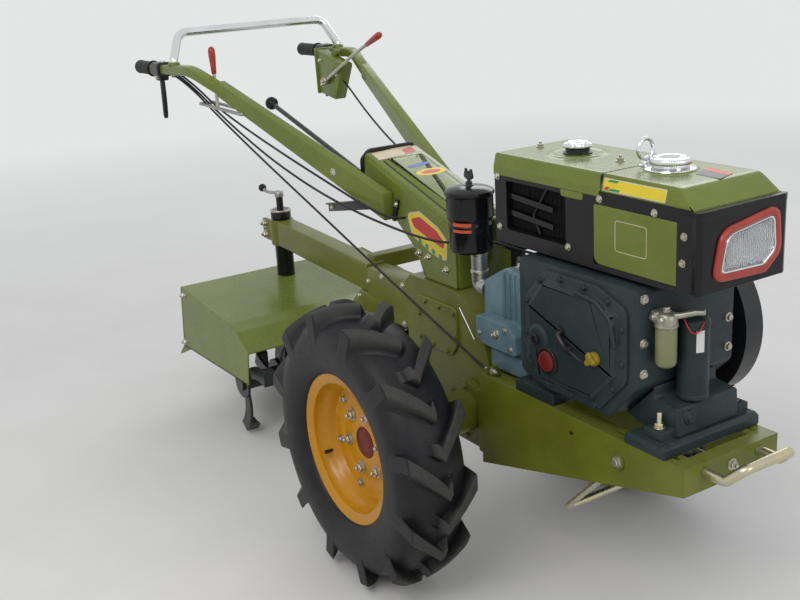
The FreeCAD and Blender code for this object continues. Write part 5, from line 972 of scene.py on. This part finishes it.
# Plugs and small pipes on the cover's face
redCap = latheShape([(0, 15), (15, 14.4), (20, 12.6), (22, 9), (22, 0), (0, 0)], (354, -147, 561), near)
hexPlug = hexBolt((321, -152, 600), near, 19, 8, 1.35)
elbowPipe = rodShape([(392, -142, 634), (393, -158, 628), (410, -159, 612), (415, -152, 603.5), (415, -142, 602)], 6, 9)
elbowNuts = boltField([((392, -147, 634), near, 15, False), ((415, -147, 602), near, 15, False)])
thinTube = rodShape([(415, -150, 599), (436, -161, 604), (458, -158, 592), (464, -146, 588.7)], 3.2, 12)
addPiece("enginePlugs", [redCap, merged(hexPlug, elbowPipe, elbowNuts), thinTube], "chassis",
         ["hubRed", "blackPlastic", "softRubber"], replaces="engine_plugs", angle=40)
petal = np.linspace(0, 2 * np.pi, 72, endpoint=False)
petals = np.column_stack([np.cos(petal), np.sin(petal)]) * (11.5 + 3.5 * np.cos(3 * petal + 0.6))[:, None] + engine["yellowPlug"]
yellow = castShape(petals, [(0.8, -157), (0, -158), (0, -164), (1.6, -166)])
yellowFoot = latheShape([(0, 10), (12, 10), (13.5, 8), (13.5, 0), (0, 0)], (489, -147.6, 604), near)
addPiece("oilFiller", [merged(yellow, yellowFoot)], "chassis", "plugYellow", angle=40)

# Cylinder head, its rocker cover at the rear, the boxed casting on its near side and the block below it
headLine = roundedOutline(engine["head"], 15)
headBox = castShape(roundedOutline([(66, 528), (92, 516), (206, 516), (206, 560), (180, 580), (66, 580)], 9),
                    [(0, -90), (0, -116), (1.5, -119), (5, -120)])
headBlock = castShape(roundedOutline([(88, 458), (212, 458), (212, 504), (88, 504)], 7), softEdges(-96, -40, 4))
rocker = castShape(roundedOutline([(-74, 552), (74, 552), (74, 640), (-74, 640)], 16), [(0, 72), (0, 50), (2, 46), (6, 44)], "x")
ribs = [castShape(roundedOutline([(x, 588), (x + 7, 588), (x + 7, 690), (x, 690)], 2), softEdges(-98, 98, 2))
        for x in range(140, 232, 18)]
nozzle = rodShape([(150, -60, 690), (150, -60, 712), (176, -78, 724), (232, -96, 722)], 3.2, 18)
headNuts = boltField([((x, side * 58, 690), (0, 0, 1), 14, True) for x in (152, 214) for side in (-1, 1)]
                     + [((141, -119.6, 553), near, 15, True), ((46, 0, 640), (-1, 0, 0), 13, True)]
                     + [((x, -119.6, z), near, 9, False) for x, z in ((80, 540), (192, 530), (172, 568))])
addPiece("headCast", [merged(castShape(headLine, softEdges(-92, 92, 7)), headBox, headBlock, rocker, *ribs), headNuts, nozzle],
         "chassis", ["headGrey", "boltZinc", "bareSteel"], replaces="cylinder_head", angle=40)

# Feet: two blocks at the rear, a beam with a web, a round boss and four studs in front
rearFeet = [castShape(roundedBox(205, 444, 330, 470, 5), softEdges(side * 95 - 25, side * 95 + 25, 3)) for side in (-1, 1)]
rearWeb = castShape(roundedBox(245, 462, 325, 484, 4), softEdges(-104, 104, 3))
beam = castShape(roundedOutline([(545, 444), (650, 444), (650, 464), (640, 470), (556, 470), (545, 464)], 4), softEdges(-128, 128, 4))
web = castShape(roundedOutline([(535, 470), (638, 470), (634, 528), (580, 534), (580, 562), (500, 482)], 7), softEdges(-83, 83, 6))
lugs = [castShape(roundedBox(584, 466, 632, 490, 4), softEdges(side * 98 - 18, side * 98 + 18, 3)) for side in (-1, 1)]
boss = latheShape([(0, 13), (9, 13), (10, 11), (10, 9), (14, 7.6), (15, 5), (15, 0), (0, 0)], (632, -50, 506), (1, 0, 0))
studs = merged(*[merged(latheShape([(0, 32), (4, 32), (5, 30.6), (5, 0), (0, 0)], (607.5, y, 488), steps=16),
                        hexBolt((607.5, y, 489.5), (0, 0, 1), 15, 9)) for y in (-98, 98)])
rod = rodShape([(600, -11, 429), (691, -26, 438)], 3.4)
addPiece("engineFeetCast", [merged(*rearFeet, rearWeb, beam, web, *lugs, boss), studs, rod], "chassis",
         ["engineGrey", "goldZinc", "goldZinc"], replaces="engine_feet", angle=40)

# The canister beside the engine with its blank label and red wire, and the fuel filter
canProfile = [(0, 160), (18, 159.6), (25, 157.4), (29.4, 152), (31, 146), (31, 139), (29.8, 138), (29.8, 8), (31, 7), (31, 0), (0, 0)]
canMiddle = np.array([612, -18])
canister = latheShape(canProfile, (612, -18, engine["canLow"]), steps=64)
wireTurn = np.radians([-78, -66, -54, -42, -28, -14])
wireDrop = np.array([694, 680, 670, 667, 672, 688])
wirePath = np.column_stack([612 + 33.4 * np.cos(wireTurn), -18 + 33.4 * np.sin(wireTurn), wireDrop])
addPiece("canisterBody", [canister, wrapped((612, -18), 29.8, -37, -7, 629, 671, 0.3), sweptShape(wirePath, circleSection(1.5, 10))],
         "chassis", ["engineGrey", "labelWhite", "wireRed"], replaces="side_canister", angle=40)
filterBody = latheShape([(0, 32), (7, 32), (8, 28), (14, 26.5), (19, 22), (20.6, 14), (20.6, 5), (22, 4), (22, 0), (0, 0)],
                        (604, -80, engine["filterLow"]), steps=48)
filterArm = castShape(roundedBox(580, 690, 598, 712, 4), softEdges(-98, -62, 3))
filterPipe = rodShape([(604, -80, 703), (626, -68, 706), (648, -53, 714), (662, -44, 716)], 6, 14)
banjo = boltField([((604, -80, 714), (0, 0, 1), 11, False), ((612, -101, 702), near, 10, False), ((588, -98, 701), near, 10, False)])
addPiece("filterTop", [merged(filterBody, filterArm, filterPipe), banjo], "chassis", ["castZinc", "boltZinc"],
         replaces="filter_head", angle=40)
addPiece("filterGlass", [latheShape([(0, 80), (18.6, 80), (20, 78), (20, 12), (18.4, 6), (14, 2), (6, 0), (0, 0)],
                                    (604, -80, engine["bowlLow"]), steps=56)],
         "chassis", "bowlAmber", replaces="filter_bowl", angle=50)
print("engine made")

# On the frame: pivot bolts, the bolt and a black sheet on its plates as painted shade of a small hole, weld seams, and
# the cable's bracket and rod
frameBolts = [((530, side * 130, 399), (0, side, 0), 15, False) for side in (-1, 1)] + [((697, -1, 418), (1, 0, 0), 15, True)]
# A thin black triangle on each plate is painted shade that stands in for a hole.
holeShade = [prismShape([(384, 411), (399, 410), (388, 402)], side * 123.4, side * 124.15) for side in (-1, 1)]
seams = [rodShape([(692, side * 120, 393), (692, side * 120, 436)], 3) for side in (-1, 1)]
seams += [rodShape([(149, side * 117, 441), (174, side * 117, 441)], 3, up=(0, 0, 1)) for side in (-1, 1)]
bracket = castShape(roundedBox(-112, 442, -38, 466, 3), [(0.6, 106), (0, 107), (0, 111), (0.6, 112)], "x")
clamp = merged(rodShape([(84, -108, 453), (128, -108, 453)], 4.6), hexBolt((112, -108, 453), (1, 0, 0), 14, 8))
clutchRod = rodShape([(65, -160, 604), (117, -160, 543)], 2.4)
addPiece("frameFittings", [boltField(frameBolts), merged(*holeShade), merged(*seams, bracket), clamp, clutchRod], "chassis",
         ["boltZinc", "blackPlastic", "frameGreen", "boltZinc", "bareSteel"], angle=35)
caps = []
for side in (-1, 1):
    plate = castShape(roundedOutline([(-206, 436), (-66, 436), (-40, 470), (-40, 560), (-206, 560)], 18),
                      [(0, side * 91), (0, side * 96), (2, side * 98)])
    rows = [((x, side * 97.6, z), (0, side, 0), 11, False) for x, z in spacedOut(
        drawnIn(roundedOutline([(-206, 436), (-66, 436), (-40, 470), (-40, 560), (-206, 560)], 18), 10), 8)]
    angles = np.radians(np.arange(6) * 60 + 30)
    rows += [((63 * np.cos(a), side * 107.6, axleZ + 63 * np.sin(a)), (0, side, 0), 12, False) for a in angles]
    caps.append(merged(plate, boltField(rows)))
addPiece("gearboxCovers", [merged(*caps)], "chassis", "frameGreen", angle=35)
print("frame fittings made")

# Handlebars: middle lines by x, distance from the middle plane and height, and the box section's width and height
bars = {
    "deep": [(-310, 98.3, 760.5, 30, 69), (-950, 236, 1020, 30, 42)],
    "thin": [(-911.6, 227.7, 1004.4), (-1071, 270, 1066), (-1330, 286, 1060)], "thinWide": 32, "thinTall": 28,
    "gripEnd": -1452, "decal": (-485.7, 831.7, 9),
}


# A box section along rows of (x, y, z, width, height). Its corners are round and both ends draw in over 2 mm.
def boxBar(rows, side, corner=5):
    rows = np.array(rows, float)
    first, last = rows[1] - rows[0], rows[-2] - rows[-1]
    drawn = np.array([0, 0, 0, 4, 4])
    rows = np.vstack([rows[0] - drawn, rows[0] + first * 2 / np.linalg.norm(first[:3]), rows[1:-1],
                      rows[-1] + last * 2 / np.linalg.norm(last[:3]), rows[-1] - drawn])
    sections = []
    for x, y, z, wide, tall in rows:
        outline = roundedBox(side * y - wide / 2, z - tall / 2, side * y + wide / 2, z + tall / 2, corner)
        sections.append(np.column_stack([np.full(len(outline), x), outline]))
    return gridShape(np.array(sections), around=True, capStart=True, capEnd=True)


# Height and distance from the middle plane of a bar's thin tail at x
def tailSpot(x, side):
    share = (x + 1071) / (-1330 + 1071)
    return side * (270 + 16 * share), 1066 - 6 * share


gripProfile = [(0, 0), (21, 0), (24, 1), (24.4, 5), (23, 8), (20.4, 10)]
gripProfile += [(20 - 0.9 * (i % 2), 14 + 3 * i) for i in range(32)] + [(20, 113), (21, 116), (19, 120.5), (12, 122), (0, 122)]
thinPath = roundedPath(bars["thin"], 150, 14)
thinRows = np.column_stack([thinPath, np.full(len(thinPath), bars["thinWide"]), np.full(len(thinPath), bars["thinTall"])])
for side, sideName in ((-1, "right"), (1, "left")):
    addPiece("barBox_" + sideName, [merged(boxBar(bars["deep"], side), boxBar(thinRows, side, 6))], "chassis",
             "oliveGreen", replaces="handlebar_" + sideName, angle=40)
    addPiece("gripRibbed_" + sideName, [latheShape(gripProfile, (-1330.3, side * 286, 1060), (-1, 0, 0), 56)], "chassis",
             "softRubber", replaces="grip_" + sideName, angle=50)
    y, z = tailSpot(-1275, side)
    block = castShape(roundedBox(y - 24, z - 21, y + 24, z + 21, 12), [(4, -1303), (0, -1299), (0, -1253), (4, -1249)], "x")
    ears = castShape(roundedOutline([(-1296, z - 16), (-1256, z - 16), (-1262, z - 34), (-1290, z - 34)], 6),
                     softEdges(y - 14, y + 14, 3))
    hang = np.array([(-1284, y, z - 18), (-1283, y, z - 40), (-1284, y, z - 72), (-1286, y, z - 110), (-1289, y, z - 140),
                     (-1288, y, z - 149)])
    sections = [roundedOutline([(-a, -b), (a, -b), (a, b), (-a, b)], 0.8 * b, 5) for a, b in
                ((7, 8), (7, 8), (7.5, 7), (7.5, 6), (7, 5.5), (5, 4))]
    hanging = sweptShape(hang, sections, up=(1, 0, 0))
    pin = boltField([((-1284, y - 14 * s, z - 27), (0, -s, 0), 9, False) for s in (-1, 1)] + [((-1262, y, z + 21), (0, 0, 1), 9, False)])
    addPiece("steeringHandle_" + sideName, [merged(block, ears), hanging, pin], "chassis",
             ["blackPlastic", "darkPaint", "boltZinc"], replaces="steering_lever_" + sideName, angle=40)
disc = latheShape([(0, 0.9), (8, 0.9), (9, 0.4), (9, -0.5), (0, -0.5)], (-485.7, -151.2, 831.7), (0.21, -0.978, 0))
discRing = latheShape([(5.4, 0.8), (6.6, 0.8), (6.6, 1.3), (5.4, 1.3)], (-485.7, -151.2, 831.7), (0.21, -0.978, 0), closed=True)
addPiece("barDecal", [disc, discRing], "chassis", ["labelWhite", "softRubber"], angle=40)

# The cable holders under the right clamp: three barrels with lock nuts in a bent plate
barrels = []
for z in (1058, 1050, 1042):
    barrels.append(latheShape([(0, 0), (2.6, 0), (3.4, 1), (3.4, 10), (4.2, 11), (4.2, 17), (2.4, 18), (2.4, 24), (0, 24)],
                              (-1249, -261, z), (1, 0, 0), 16))
holder = castShape(roundedOutline([(-267, 1036), (-255, 1036), (-255, 1064), (-267, 1064)], 3),
                   [(0.6, -1243), (0, -1242.4), (0, -1240.6), (0.6, -1240)], "x")
addPiece("cableHolder", [merged(holder, *barrels)], "chassis", "boltZinc", angle=35)

# Handrail with a collar and a weld at each foot
railY, railFoot = tailSpot(-1183, 1)[0], 1077.7
railPath = [(-1183, -railY, railFoot), (-1183, -railY, railFoot + 12), (-1213, 36 - railY, 1166), (-1213, railY - 36, 1166),
            (-1183, railY, railFoot + 12), (-1183, railY, railFoot)]
collars = [latheShape([(0, 9), (13, 9), (16, 7.6), (17.4, 4), (18, 0), (0, 0)], (-1183, side * railY, railFoot - 0.5)) for side in (-1, 1)]
addPiece("handrailTube", [rodShape(railPath, 12.5, 40, 24), merged(*collars)], "chassis", ["chromePlate", "oliveGreen"],
         replaces="handrail", angle=50)

# The left lever's box, open below, with its red lever, and the right lever with its wire guide
boxLine = roundedOutline([(-1221, 1075), (-1216, 940), (-1111, 922), (-1050, 1035)], 9)
leverBox = castShape(boxLine, [(3, 215), (0.8, 215.8), (0, 218), (0, 250), (0.8, 252.2), (3, 253)])
rim = castShape(roundedOutline([(-1223, 1078), (-1219, 936), (-1211, 935), (-1215, 1077)], 3), softEdges(210, 256, 2))
stem = latheShape([(0, 0), (13, 0), (13, 5), (10, 6), (10, 26), (0, 26)], (-1135.5, 234, 1064), (0, 1, 0))
boxBolts = boltField([((x, 215.2, z), near, 10, False) for x, z in ((-1196, 1040), (-1190, 965), (-1090, 1000))])
addPiece("leverHousing", [merged(leverBox, rim, stem), boxBolts], "chassis", ["oliveGreen", "boltZinc"],
         replaces="lever_bracket", angle=35)
redStart, redEnd = np.array((-879, 205, 1102)), np.array((-796, 205, 1135))
along = redEnd - redStart
leftProfile = [(0, 0), (6, 0), (7.2, 2), (8.2, 28), (10, 60), (10, 78), (8, 85.5), (4, 88.8), (0, 89.3)]
leftRod = rodShape([(-1150, 205, 980), redStart - along, redEnd - along * 0.9], 5, 60)
leftPivot = merged(latheShape([(0, 0), (11, 0), (12, 1), (12, 16), (11, 18.5), (0, 18.5)], (-1150, 196, 980), (0, 1, 0)),
                   hexBolt((-1150, 196.4, 980), near, 13))
addPiece("leverRed_left", [latheShape(leftProfile, redStart, tuple(along), 40), merged(leftRod, leftPivot)], "chassis",
         ["leverRed", "boltZinc"], replaces="hand_lever_left", angle=50)
redY, redFoot = -230.05, 965.0
rightProfile = [(0, 0), (6, 0), (7.2, 2), (8.2, 24), (10, 50), (10, 65), (8, 72), (4, 75.6), (0, 76)]
lean = (-0.02, 0, 1)
rightRod = rodShape([(-1000, redY, redFoot), (-1002.2, redY, redFoot + 108)], 5)
guide = rodShape([(-1128, redY, 963), (-842, redY, 956), (-842, redY + 40, 956), (-1128, redY + 40, 963), (-1128, redY + 4, 963)],
                 5, 12)
pinRight = merged(latheShape([(0, 0), (6, 0), (6, 20), (0, 20)], (-1001.5, redY - 20, redFoot + 76), (0, 1, 0), 20),
                  hexBolt((-1001.5, redY - 19, redFoot + 76), near, 11))
addPiece("leverRed_right", [latheShape(rightProfile, (-1001.8, redY, redFoot + 92), lean, 40), merged(rightRod, pinRight), guide],
         "chassis", ["leverRed", "boltZinc", "bareSteel"], replaces="hand_lever_right", angle=50)

# Gear lever with its ball, and the lever of the tiller drive with its bolt and catch
ballTurn = np.linspace(0, np.pi, 19)
gearBall = latheShape(np.column_stack([20 * np.sin(ballTurn), -20 * np.cos(ballTurn)]), (-1127, 0, 936), (-0.963, 0, 0.271), 36)
gearRod = rodShape([(-226, 0, 608), (-292, 0, 701), (-1127, 0, 936)], 7, 60, 20)
gearFoot = latheShape([(0, 14), (9, 14), (12, 10), (14, 4), (14, 0), (0, 0)], (-226, 0, 600.3))
addPiece("gearStick", [merged(gearRod, gearFoot), gearBall], "chassis", ["darkPaint", "glossBlack"],
         replaces="gear_lever", angle=50)
ptoLine = roundedOutline([(-352, 773), (-640, 716), (-640, 692), (-352, 746)], 3)
flange = castShape(roundedOutline([(-354, 773), (-640, 716.4), (-640, 712), (-354, 768.6)], 1), softEdges(-99, -83.3, 1))
catch = castShape(roundedOutline([(-279, 780), (-292, 780), (-313, 724), (-300, 722)], 4), softEdges(-91, -83.4, 1.6))
ptoBolts = boltField([((-368, -91, 759), near, 13, True), ((-287, -90.6, 768), near, 10, False), ((-618, -91, 708), near, 9, False)])
addPiece("driveLever", [merged(castShape(ptoLine, softEdges(-91, -86, 1)), flange, catch), ptoBolts], "chassis",
         ["darkPaint", "boltZinc"], replaces="pto_lever", angle=35)
print("bars and levers made")

# Console: its body and side plates, the lid on top with a dark sheet round it as painted shade of the gap, the seal at
# the rear and the trim
console = {
    "body": [(-461, 856), (-443, 876), (-48, 752), (-48, 600), (-200, 600), (-240, 679), (-350, 754), (-461, 802)],
    "plate": [(-447, 812), (-431, 862), (-52, 742), (-52, 602), (-176, 602), (-232, 674), (-340, 750)],
    "half": 78, "slope": 0.3139, "lid": [(-388, -58), (-62, -58), (-62, 58), (-388, 58)],
}


# A sheet or lid on the console's sloping top: its outline in x and y, stacked by (drawn in, height above the top)
def onConsole(outline, rows):
    levels = []
    for by, level in rows:
        x, y = drawnIn(outline, by).T
        levels.append(np.column_stack([x, y, 876 - console["slope"] * (x + 443) + level]))
    return gridShape(np.array(levels), around=True, capStart=True, capEnd=True)


def ovalLine(x, y, halfX, halfY, lean=0.0):
    turned = np.linspace(0, 2 * np.pi, 48, endpoint=False)
    return np.column_stack([x + halfX * np.cos(turned) + lean * np.sin(turned), y + halfY * np.sin(turned)])


body = castShape(roundedOutline(console["body"], [12, 12, 10, 6, 10, 30, 20, 10], 8), softEdges(-78, 78, 7))
plates = [castShape(roundedOutline(console["plate"], [9, 9, 8, 5, 8, 24, 16], 8), [(0, side * 77), (0, side * 82), (1, side * 83)])
          for side in (-1, 1)]
lidLine = roundedOutline(console["lid"], 9)
lid = onConsole(lidLine, [(0, -1), (0, 2.4), (0.8, 3), (14, 7.4), (16, 7.8), (20, 8)])
# The thin dark sheet just round the lid is painted shade of the groove there.
lidGapShade = onConsole(drawnIn(lidLine, -3.5), [(0, -1), (0, 0.35)])
sealPath = [(-457, -79.5, 806), (-457, -79.5, 856), (-446, -66, 878), (-446, 66, 878), (-457, 79.5, 856), (-457, 79.5, 806)]
consoleBolts = boltField([((x, side * 83, z), (0, side, 0), 13, True) for x, z in ((-166, 657), (-205, 660), (-92, 640))
                          for side in (-1, 1)] + [((-372, 34, 854), (0, 0, 1), 12, True)])
addPiece("consoleBox", [merged(body, *plates, lid), lidGapShade, rodShape(sealPath, 6, 14, 16, up=(0, 1, 0)), consoleBolts], "chassis",
         ["oliveGreen", "softRubber", "softRubber", "boltZinc"], replaces="console", angle=35)
trim, trimFinish = [], []
flatTop = 0.35
for outline, level, finish in (
        ([(-432, -66), (-394, -66), (-404, 58), (-446, 58)], flatTop, "labelCream"),
        ([(-425, 20), (-402, 20), (-407, 54), (-434, 54)], flatTop + 0.3, "labelRed"),
        (ovalLine(-325, 7, 7, 37, -4), 8.3, "labelBlue"),
        (ovalLine(-284, 15, 16, 44), 8.3, "labelYellow"), (ovalLine(-284, 15, 8, 28), 8.6, "labelOrange")):
    trim.append(onConsole(np.array(outline, float), [(0, level - 1), (0, level)]))
    trimFinish.append(finish)
for side in (-1, 1):
    face = side * 83
    for corners, radius, proud, finish in (
            ([(-253, 752), (-196, 765), (-118, 738), (-84, 713), (-87, 660), (-150, 668), (-233, 698)], 16, 0.3, "labelCream"),
            ([(-249, 748), (-196, 761), (-120, 735), (-88, 711), (-90, 664), (-150, 672), (-230, 701)], 14, 0.5, "labelYellow"),
            ([(-236, 740), (-196, 751), (-126, 729), (-96, 707), (-98, 690), (-160, 704), (-222, 722)], 10, 0.7, "labelRed")):
        trim.append(prismShape(roundedOutline(corners, radius), face - side * 0.5, face + side * proud))
        trimFinish.append(finish)
    for x in (-204, -176, -148, -120):
        z = 698 + (x + 204) * -0.28
        trim.append(prismShape([(x, z), (x + 12, z - 3), (x + 12, z - 15), (x, z - 12)], face - side * 0.5, face + side * 0.7))
        trimFinish.append("labelGreen")
addPiece("consoleTrim", trim, "chassis", trimFinish, angle=30)

# Air cleaner: the lid is domed, its rim rolled, and a wing bolt holds it. The pipe below is bare metal.
cleanerProfile = [(0, 0), (38, 0), (43, 1.6), (44.6, 5), (48, 8), (48, 58), (49.4, 60), (49.6, 64), (48.2, 66), (48, 73), (49.6, 75),
                  (51.6, 79), (52, 82), (52, 127), (53, 129), (55, 131), (55.2, 135), (54, 138.4), (51, 140), (44, 143.6),
                  (32, 146.6), (18, 148.4), (6, 149), (0, 149)]
cleaner = latheShape(cleanerProfile, (36, -100, 716), steps=72)
wing = castShape(roundedOutline([(-17, 882), (-12, 901), (-6, 901), (-4, 888), (4, 888), (6, 901), (12, 901), (17, 882), (6, 876),
                                 (-6, 876)], 3), softEdges(-102, -98, 1))
wing = (wing[0] + [36, 0, 0], wing[1])
wingNut = merged(wing, hexBolt((36, -100, 864.6), (0, 0, 1), 13, 9, 1.9), latheShape([(0, 32), (3.4, 32), (3.4, 0), (0, 0)],
                                                                                (36, -100, 864), steps=16))
addPiece("airCleaner", [cleaner, wingNut, wrapped((36, -100), 48, -88, -34, 768, 792, 0.35)], "chassis",
         ["glossBlack", "darkPaint", "labelOrange"], replaces="air_cleaner", angle=35)
pipe = rodShape([(30, -76, 715.7), (30, -76, 630), (61.7, -76, 630)], 19, 26, 28, up=(0, 1, 0))
clips = [latheShape([(18.6, -5), (20.4, -5), (20.8, -4), (20.8, 4), (20.4, 5), (18.6, 5)], (30, -76, z), steps=40, closed=True)
         for z in (706, 664)]
addPiece("intakeElbow", [pipe, merged(*clips)], "chassis", ["bareSteel", "boltZinc"], replaces="intake_pipe", angle=50)
print("console and air cleaner made")

# Tiller: the beam with its clamp, the gear case, the cover's rolled edges, the post with its crank
beamRows = [(-1110, 0, 530, 60, 80), (-560, 0, 505, 60, 80)]
collar = latheShape([(28.6, 0), (36, 0), (37, 1.4), (37, 78.6), (36, 80), (28.6, 80)], (-1138, 0, 490), closed=True)
earPlates = [castShape(roundedBox(-1225, 496, -1166, 564, 7), softEdges(side * 20 - 6, side * 20 + 6, 1.6)) for side in (-1, 1)]
beamBolts = boltField([((-1208, side * 26, z), (0, side, 0), 17, True) for side in (-1, 1) for z in (512, 548)])
crossArm = castShape(roundedBox(-610, 519, -570, 561, 4), softEdges(2, 200, 3))
addPiece("tillerBeam", [merged(boxBar(beamRows, 1, 7), collar, *earPlates, crossArm), beamBolts], "chassis",
         ["frameGreen", "boltZinc"], replaces="tiller_arm", angle=35)
caseCorners = [(-262.3, 420), (-262.3, 540), (-559.7, 540), (-559.7, 465), (-600, 467), (-893, 210), (-906, 176), (-890, 140),
               (-854, 130), (-831, 142), (-529, 400)]
tillerLine = roundedOutline(caseCorners, [8, 12, 12, 8, 8, 20, 14, 14, 14, 20, 30])
caseBolts = boltField([((x, side * 33.6, z), (0, side, 0), 11, False) for side in (-1, 1)
                       for x, z in spacedOut(drawnIn(tillerLine, 11), 16)])
addPiece("tillerHousing", [castShape(tillerLine, softEdges(-34, 34, 7)), caseBolts], "chassis",
         ["frameGreen", "boltZinc"], replaces="tiller_case", angle=35)
coverLoop = [(-1251, 193), (-763, 206), (-742, 308), (-808, 353), (-860, 365), (-1218, 396), (-1251, 193), (-763, 206)]
edges = [rodShape([(x, side * 329, z) for x, z in coverLoop], 2.4, 7, 10, up=(0, 1, 0)) for side in (-1, 1)]
edges.append(rodShape([(-742, -328, 307), (-742, 328, 307)], 3, sides=12, up=(0, 0, 1)))
flap = [prismShape(roundedOutline([(-1252, 200), (-1190, 196), (-1318, 140)], 4), side * 326, side * 323) for side in (-1, 1)]
coverBolts = boltField([((x, side * 330, z), (0, side, 0), 15, True) for side in (-1, 1) for x, z in ((-1236, 208), (-1200, 372))])
addPiece("coverEdges", [merged(*edges), coverBolts, merged(*flap)], "chassis", ["oliveGreen", "boltZinc", "frameGreen"],
         angle=40)
postProfile = [(20.4, 0), (26.6, 0), (28, 1.4), (28, 312), (29, 314.4), (31.4, 315), (32, 317), (32, 339), (30.6, 341.6), (12, 342),
               (11, 343), (11, 380), (0.4, 380), (0.4, 322), (20.4, 320)]
capRing = latheShape([(28, 0), (32.4, 0), (33, 1), (33, 5), (32.4, 6), (28, 6)], (-1138, 0, 596), closed=True)
addPiece("depthTube", [latheShape(postProfile, (-1138, 0, 260), steps=56, closed=True), capRing], "chassis",
         ["glossBlack", "boltZinc"], replaces="depth_post", angle=40)
crankTop = latheShape([(0, 20), (11, 20), (14, 17.6), (14, 1), (13, 0), (0, 0)], (-1138, 0, 640.3), steps=6)
crankRod = rodShape([(-1122, 0, 649), (-1168, 0, 650), (-1212, 0, 645), (-1238, 0, 646), (-1254, 0, 652)], 5.4, 24)
crankBall = latheShape(np.column_stack([13 * np.sin(ballTurn), -13 * np.cos(ballTurn)]), (-1257, 0, 653), steps=28)
addPiece("crankHandle", [merged(crankTop, crankRod), crankBall], "chassis", ["bareSteel", "glossBlack"],
         replaces="post_crank", angle=50)
spokes = [((-1166 + 52 * np.cos(a), side * 22.8, 84 + 52 * np.sin(a)), (0, side, 0), 11, False)
          for a in np.radians(np.arange(5) * 72) for side in (-1, 1)]
addPiece("tailWheelBolts", [boltField(spokes)], "tail_roller", "boltZinc", angle=35)
print("tiller made")

# The control cables. Each is one spline through its own points, in metres, and ends where it is fixed.
cords = {
    "cordSteering": {
        "node": "cable_steering", "length": 1.080,
        "points": [(-1.247, -0.261, 1.058), (-1.222, -0.261, 1.058), (-1.150, -0.230, 1.012), (-1.072, -0.202, 0.952),
                   (-0.880, -0.186, 0.895), (-0.690, -0.169, 0.844), (-0.490, -0.152, 0.795), (-0.330, -0.139, 0.757),
                   (-0.262, -0.112, 0.738), (-0.262, -0.083, 0.738)]},
    "cordThrottle": {
        "node": "cable_throttle", "length": 1.601,
        "points": [(-1.247, -0.261, 1.050), (-1.222, -0.261, 1.050), (-1.150, -0.235, 1.006), (-1.072, -0.209, 0.948),
                   (-0.990, -0.202, 0.913), (-0.908, -0.195, 0.881), (-0.825, -0.188, 0.851), (-0.742, -0.182, 0.825),
                   (-0.660, -0.175, 0.802), (-0.577, -0.168, 0.781), (-0.495, -0.161, 0.764), (-0.412, -0.154, 0.750),
                   (-0.330, -0.147, 0.738), (-0.247, -0.140, 0.730), (-0.165, -0.134, 0.724), (-0.082, -0.126, 0.722),
                   (-0.034, -0.104, 0.721), (-0.024, -0.058, 0.720), (0.020, -0.024, 0.719), (0.100, -0.020, 0.716),
                   (0.170, -0.021, 0.718), (0.206, -0.018, 0.718), (0.236, -0.018, 0.718)]},
    "cordClutch": {
        "node": "cable_clutch", "length": 1.485,
        "points": [(-1.247, -0.261, 1.042), (-1.222, -0.261, 1.042), (-1.150, -0.236, 0.999), (-1.072, -0.214, 0.941),
                   (-0.840, -0.197, 0.842), (-0.600, -0.173, 0.739), (-0.360, -0.151, 0.637), (-0.130, -0.130, 0.540),
                   (0.040, -0.114, 0.470), (0.070, -0.108, 0.453), (0.100, -0.108, 0.453)]},
    "cordLeft": {
        "node": "cable_left", "length": 0.892,
        "points": [(-1.0805, 0.234, 0.9785), (-1.0579, 0.234, 0.9663), (-0.975, 0.223, 0.924), (-0.890, 0.212, 0.885),
                   (-0.805, 0.201, 0.851), (-0.720, 0.190, 0.822), (-0.635, 0.179, 0.799), (-0.550, 0.168, 0.781),
                   (-0.465, 0.157, 0.767), (-0.390, 0.147, 0.760), (-0.330, 0.139, 0.757), (-0.262, 0.112, 0.738),
                   (-0.262, 0.083, 0.738)]},
}
for name, cord in cords.items():
    curve = bpy.data.curves.new(name, "CURVE")
    curve.dimensions = "3D"
    curve.bevel_depth = 0.003
    curve.bevel_resolution = 4
    curve.resolution_u = 12
    spline = curve.splines.new("NURBS")
    spline.points.add(len(cord["points"]) - 1)
    for point, place in zip(spline.points, cord["points"]):
        point.co = (*place, 1)
    spline.order_u = 3
    spline.use_endpoint_u = True
    curve.materials.append(finishesByName["softRubber"])
    cable = bpy.data.objects.new(name, curve)
    bpy.context.scene.collection.objects.link(cable)
    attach(cable, "chassis")
    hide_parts(cord["node"])
print("cables made")
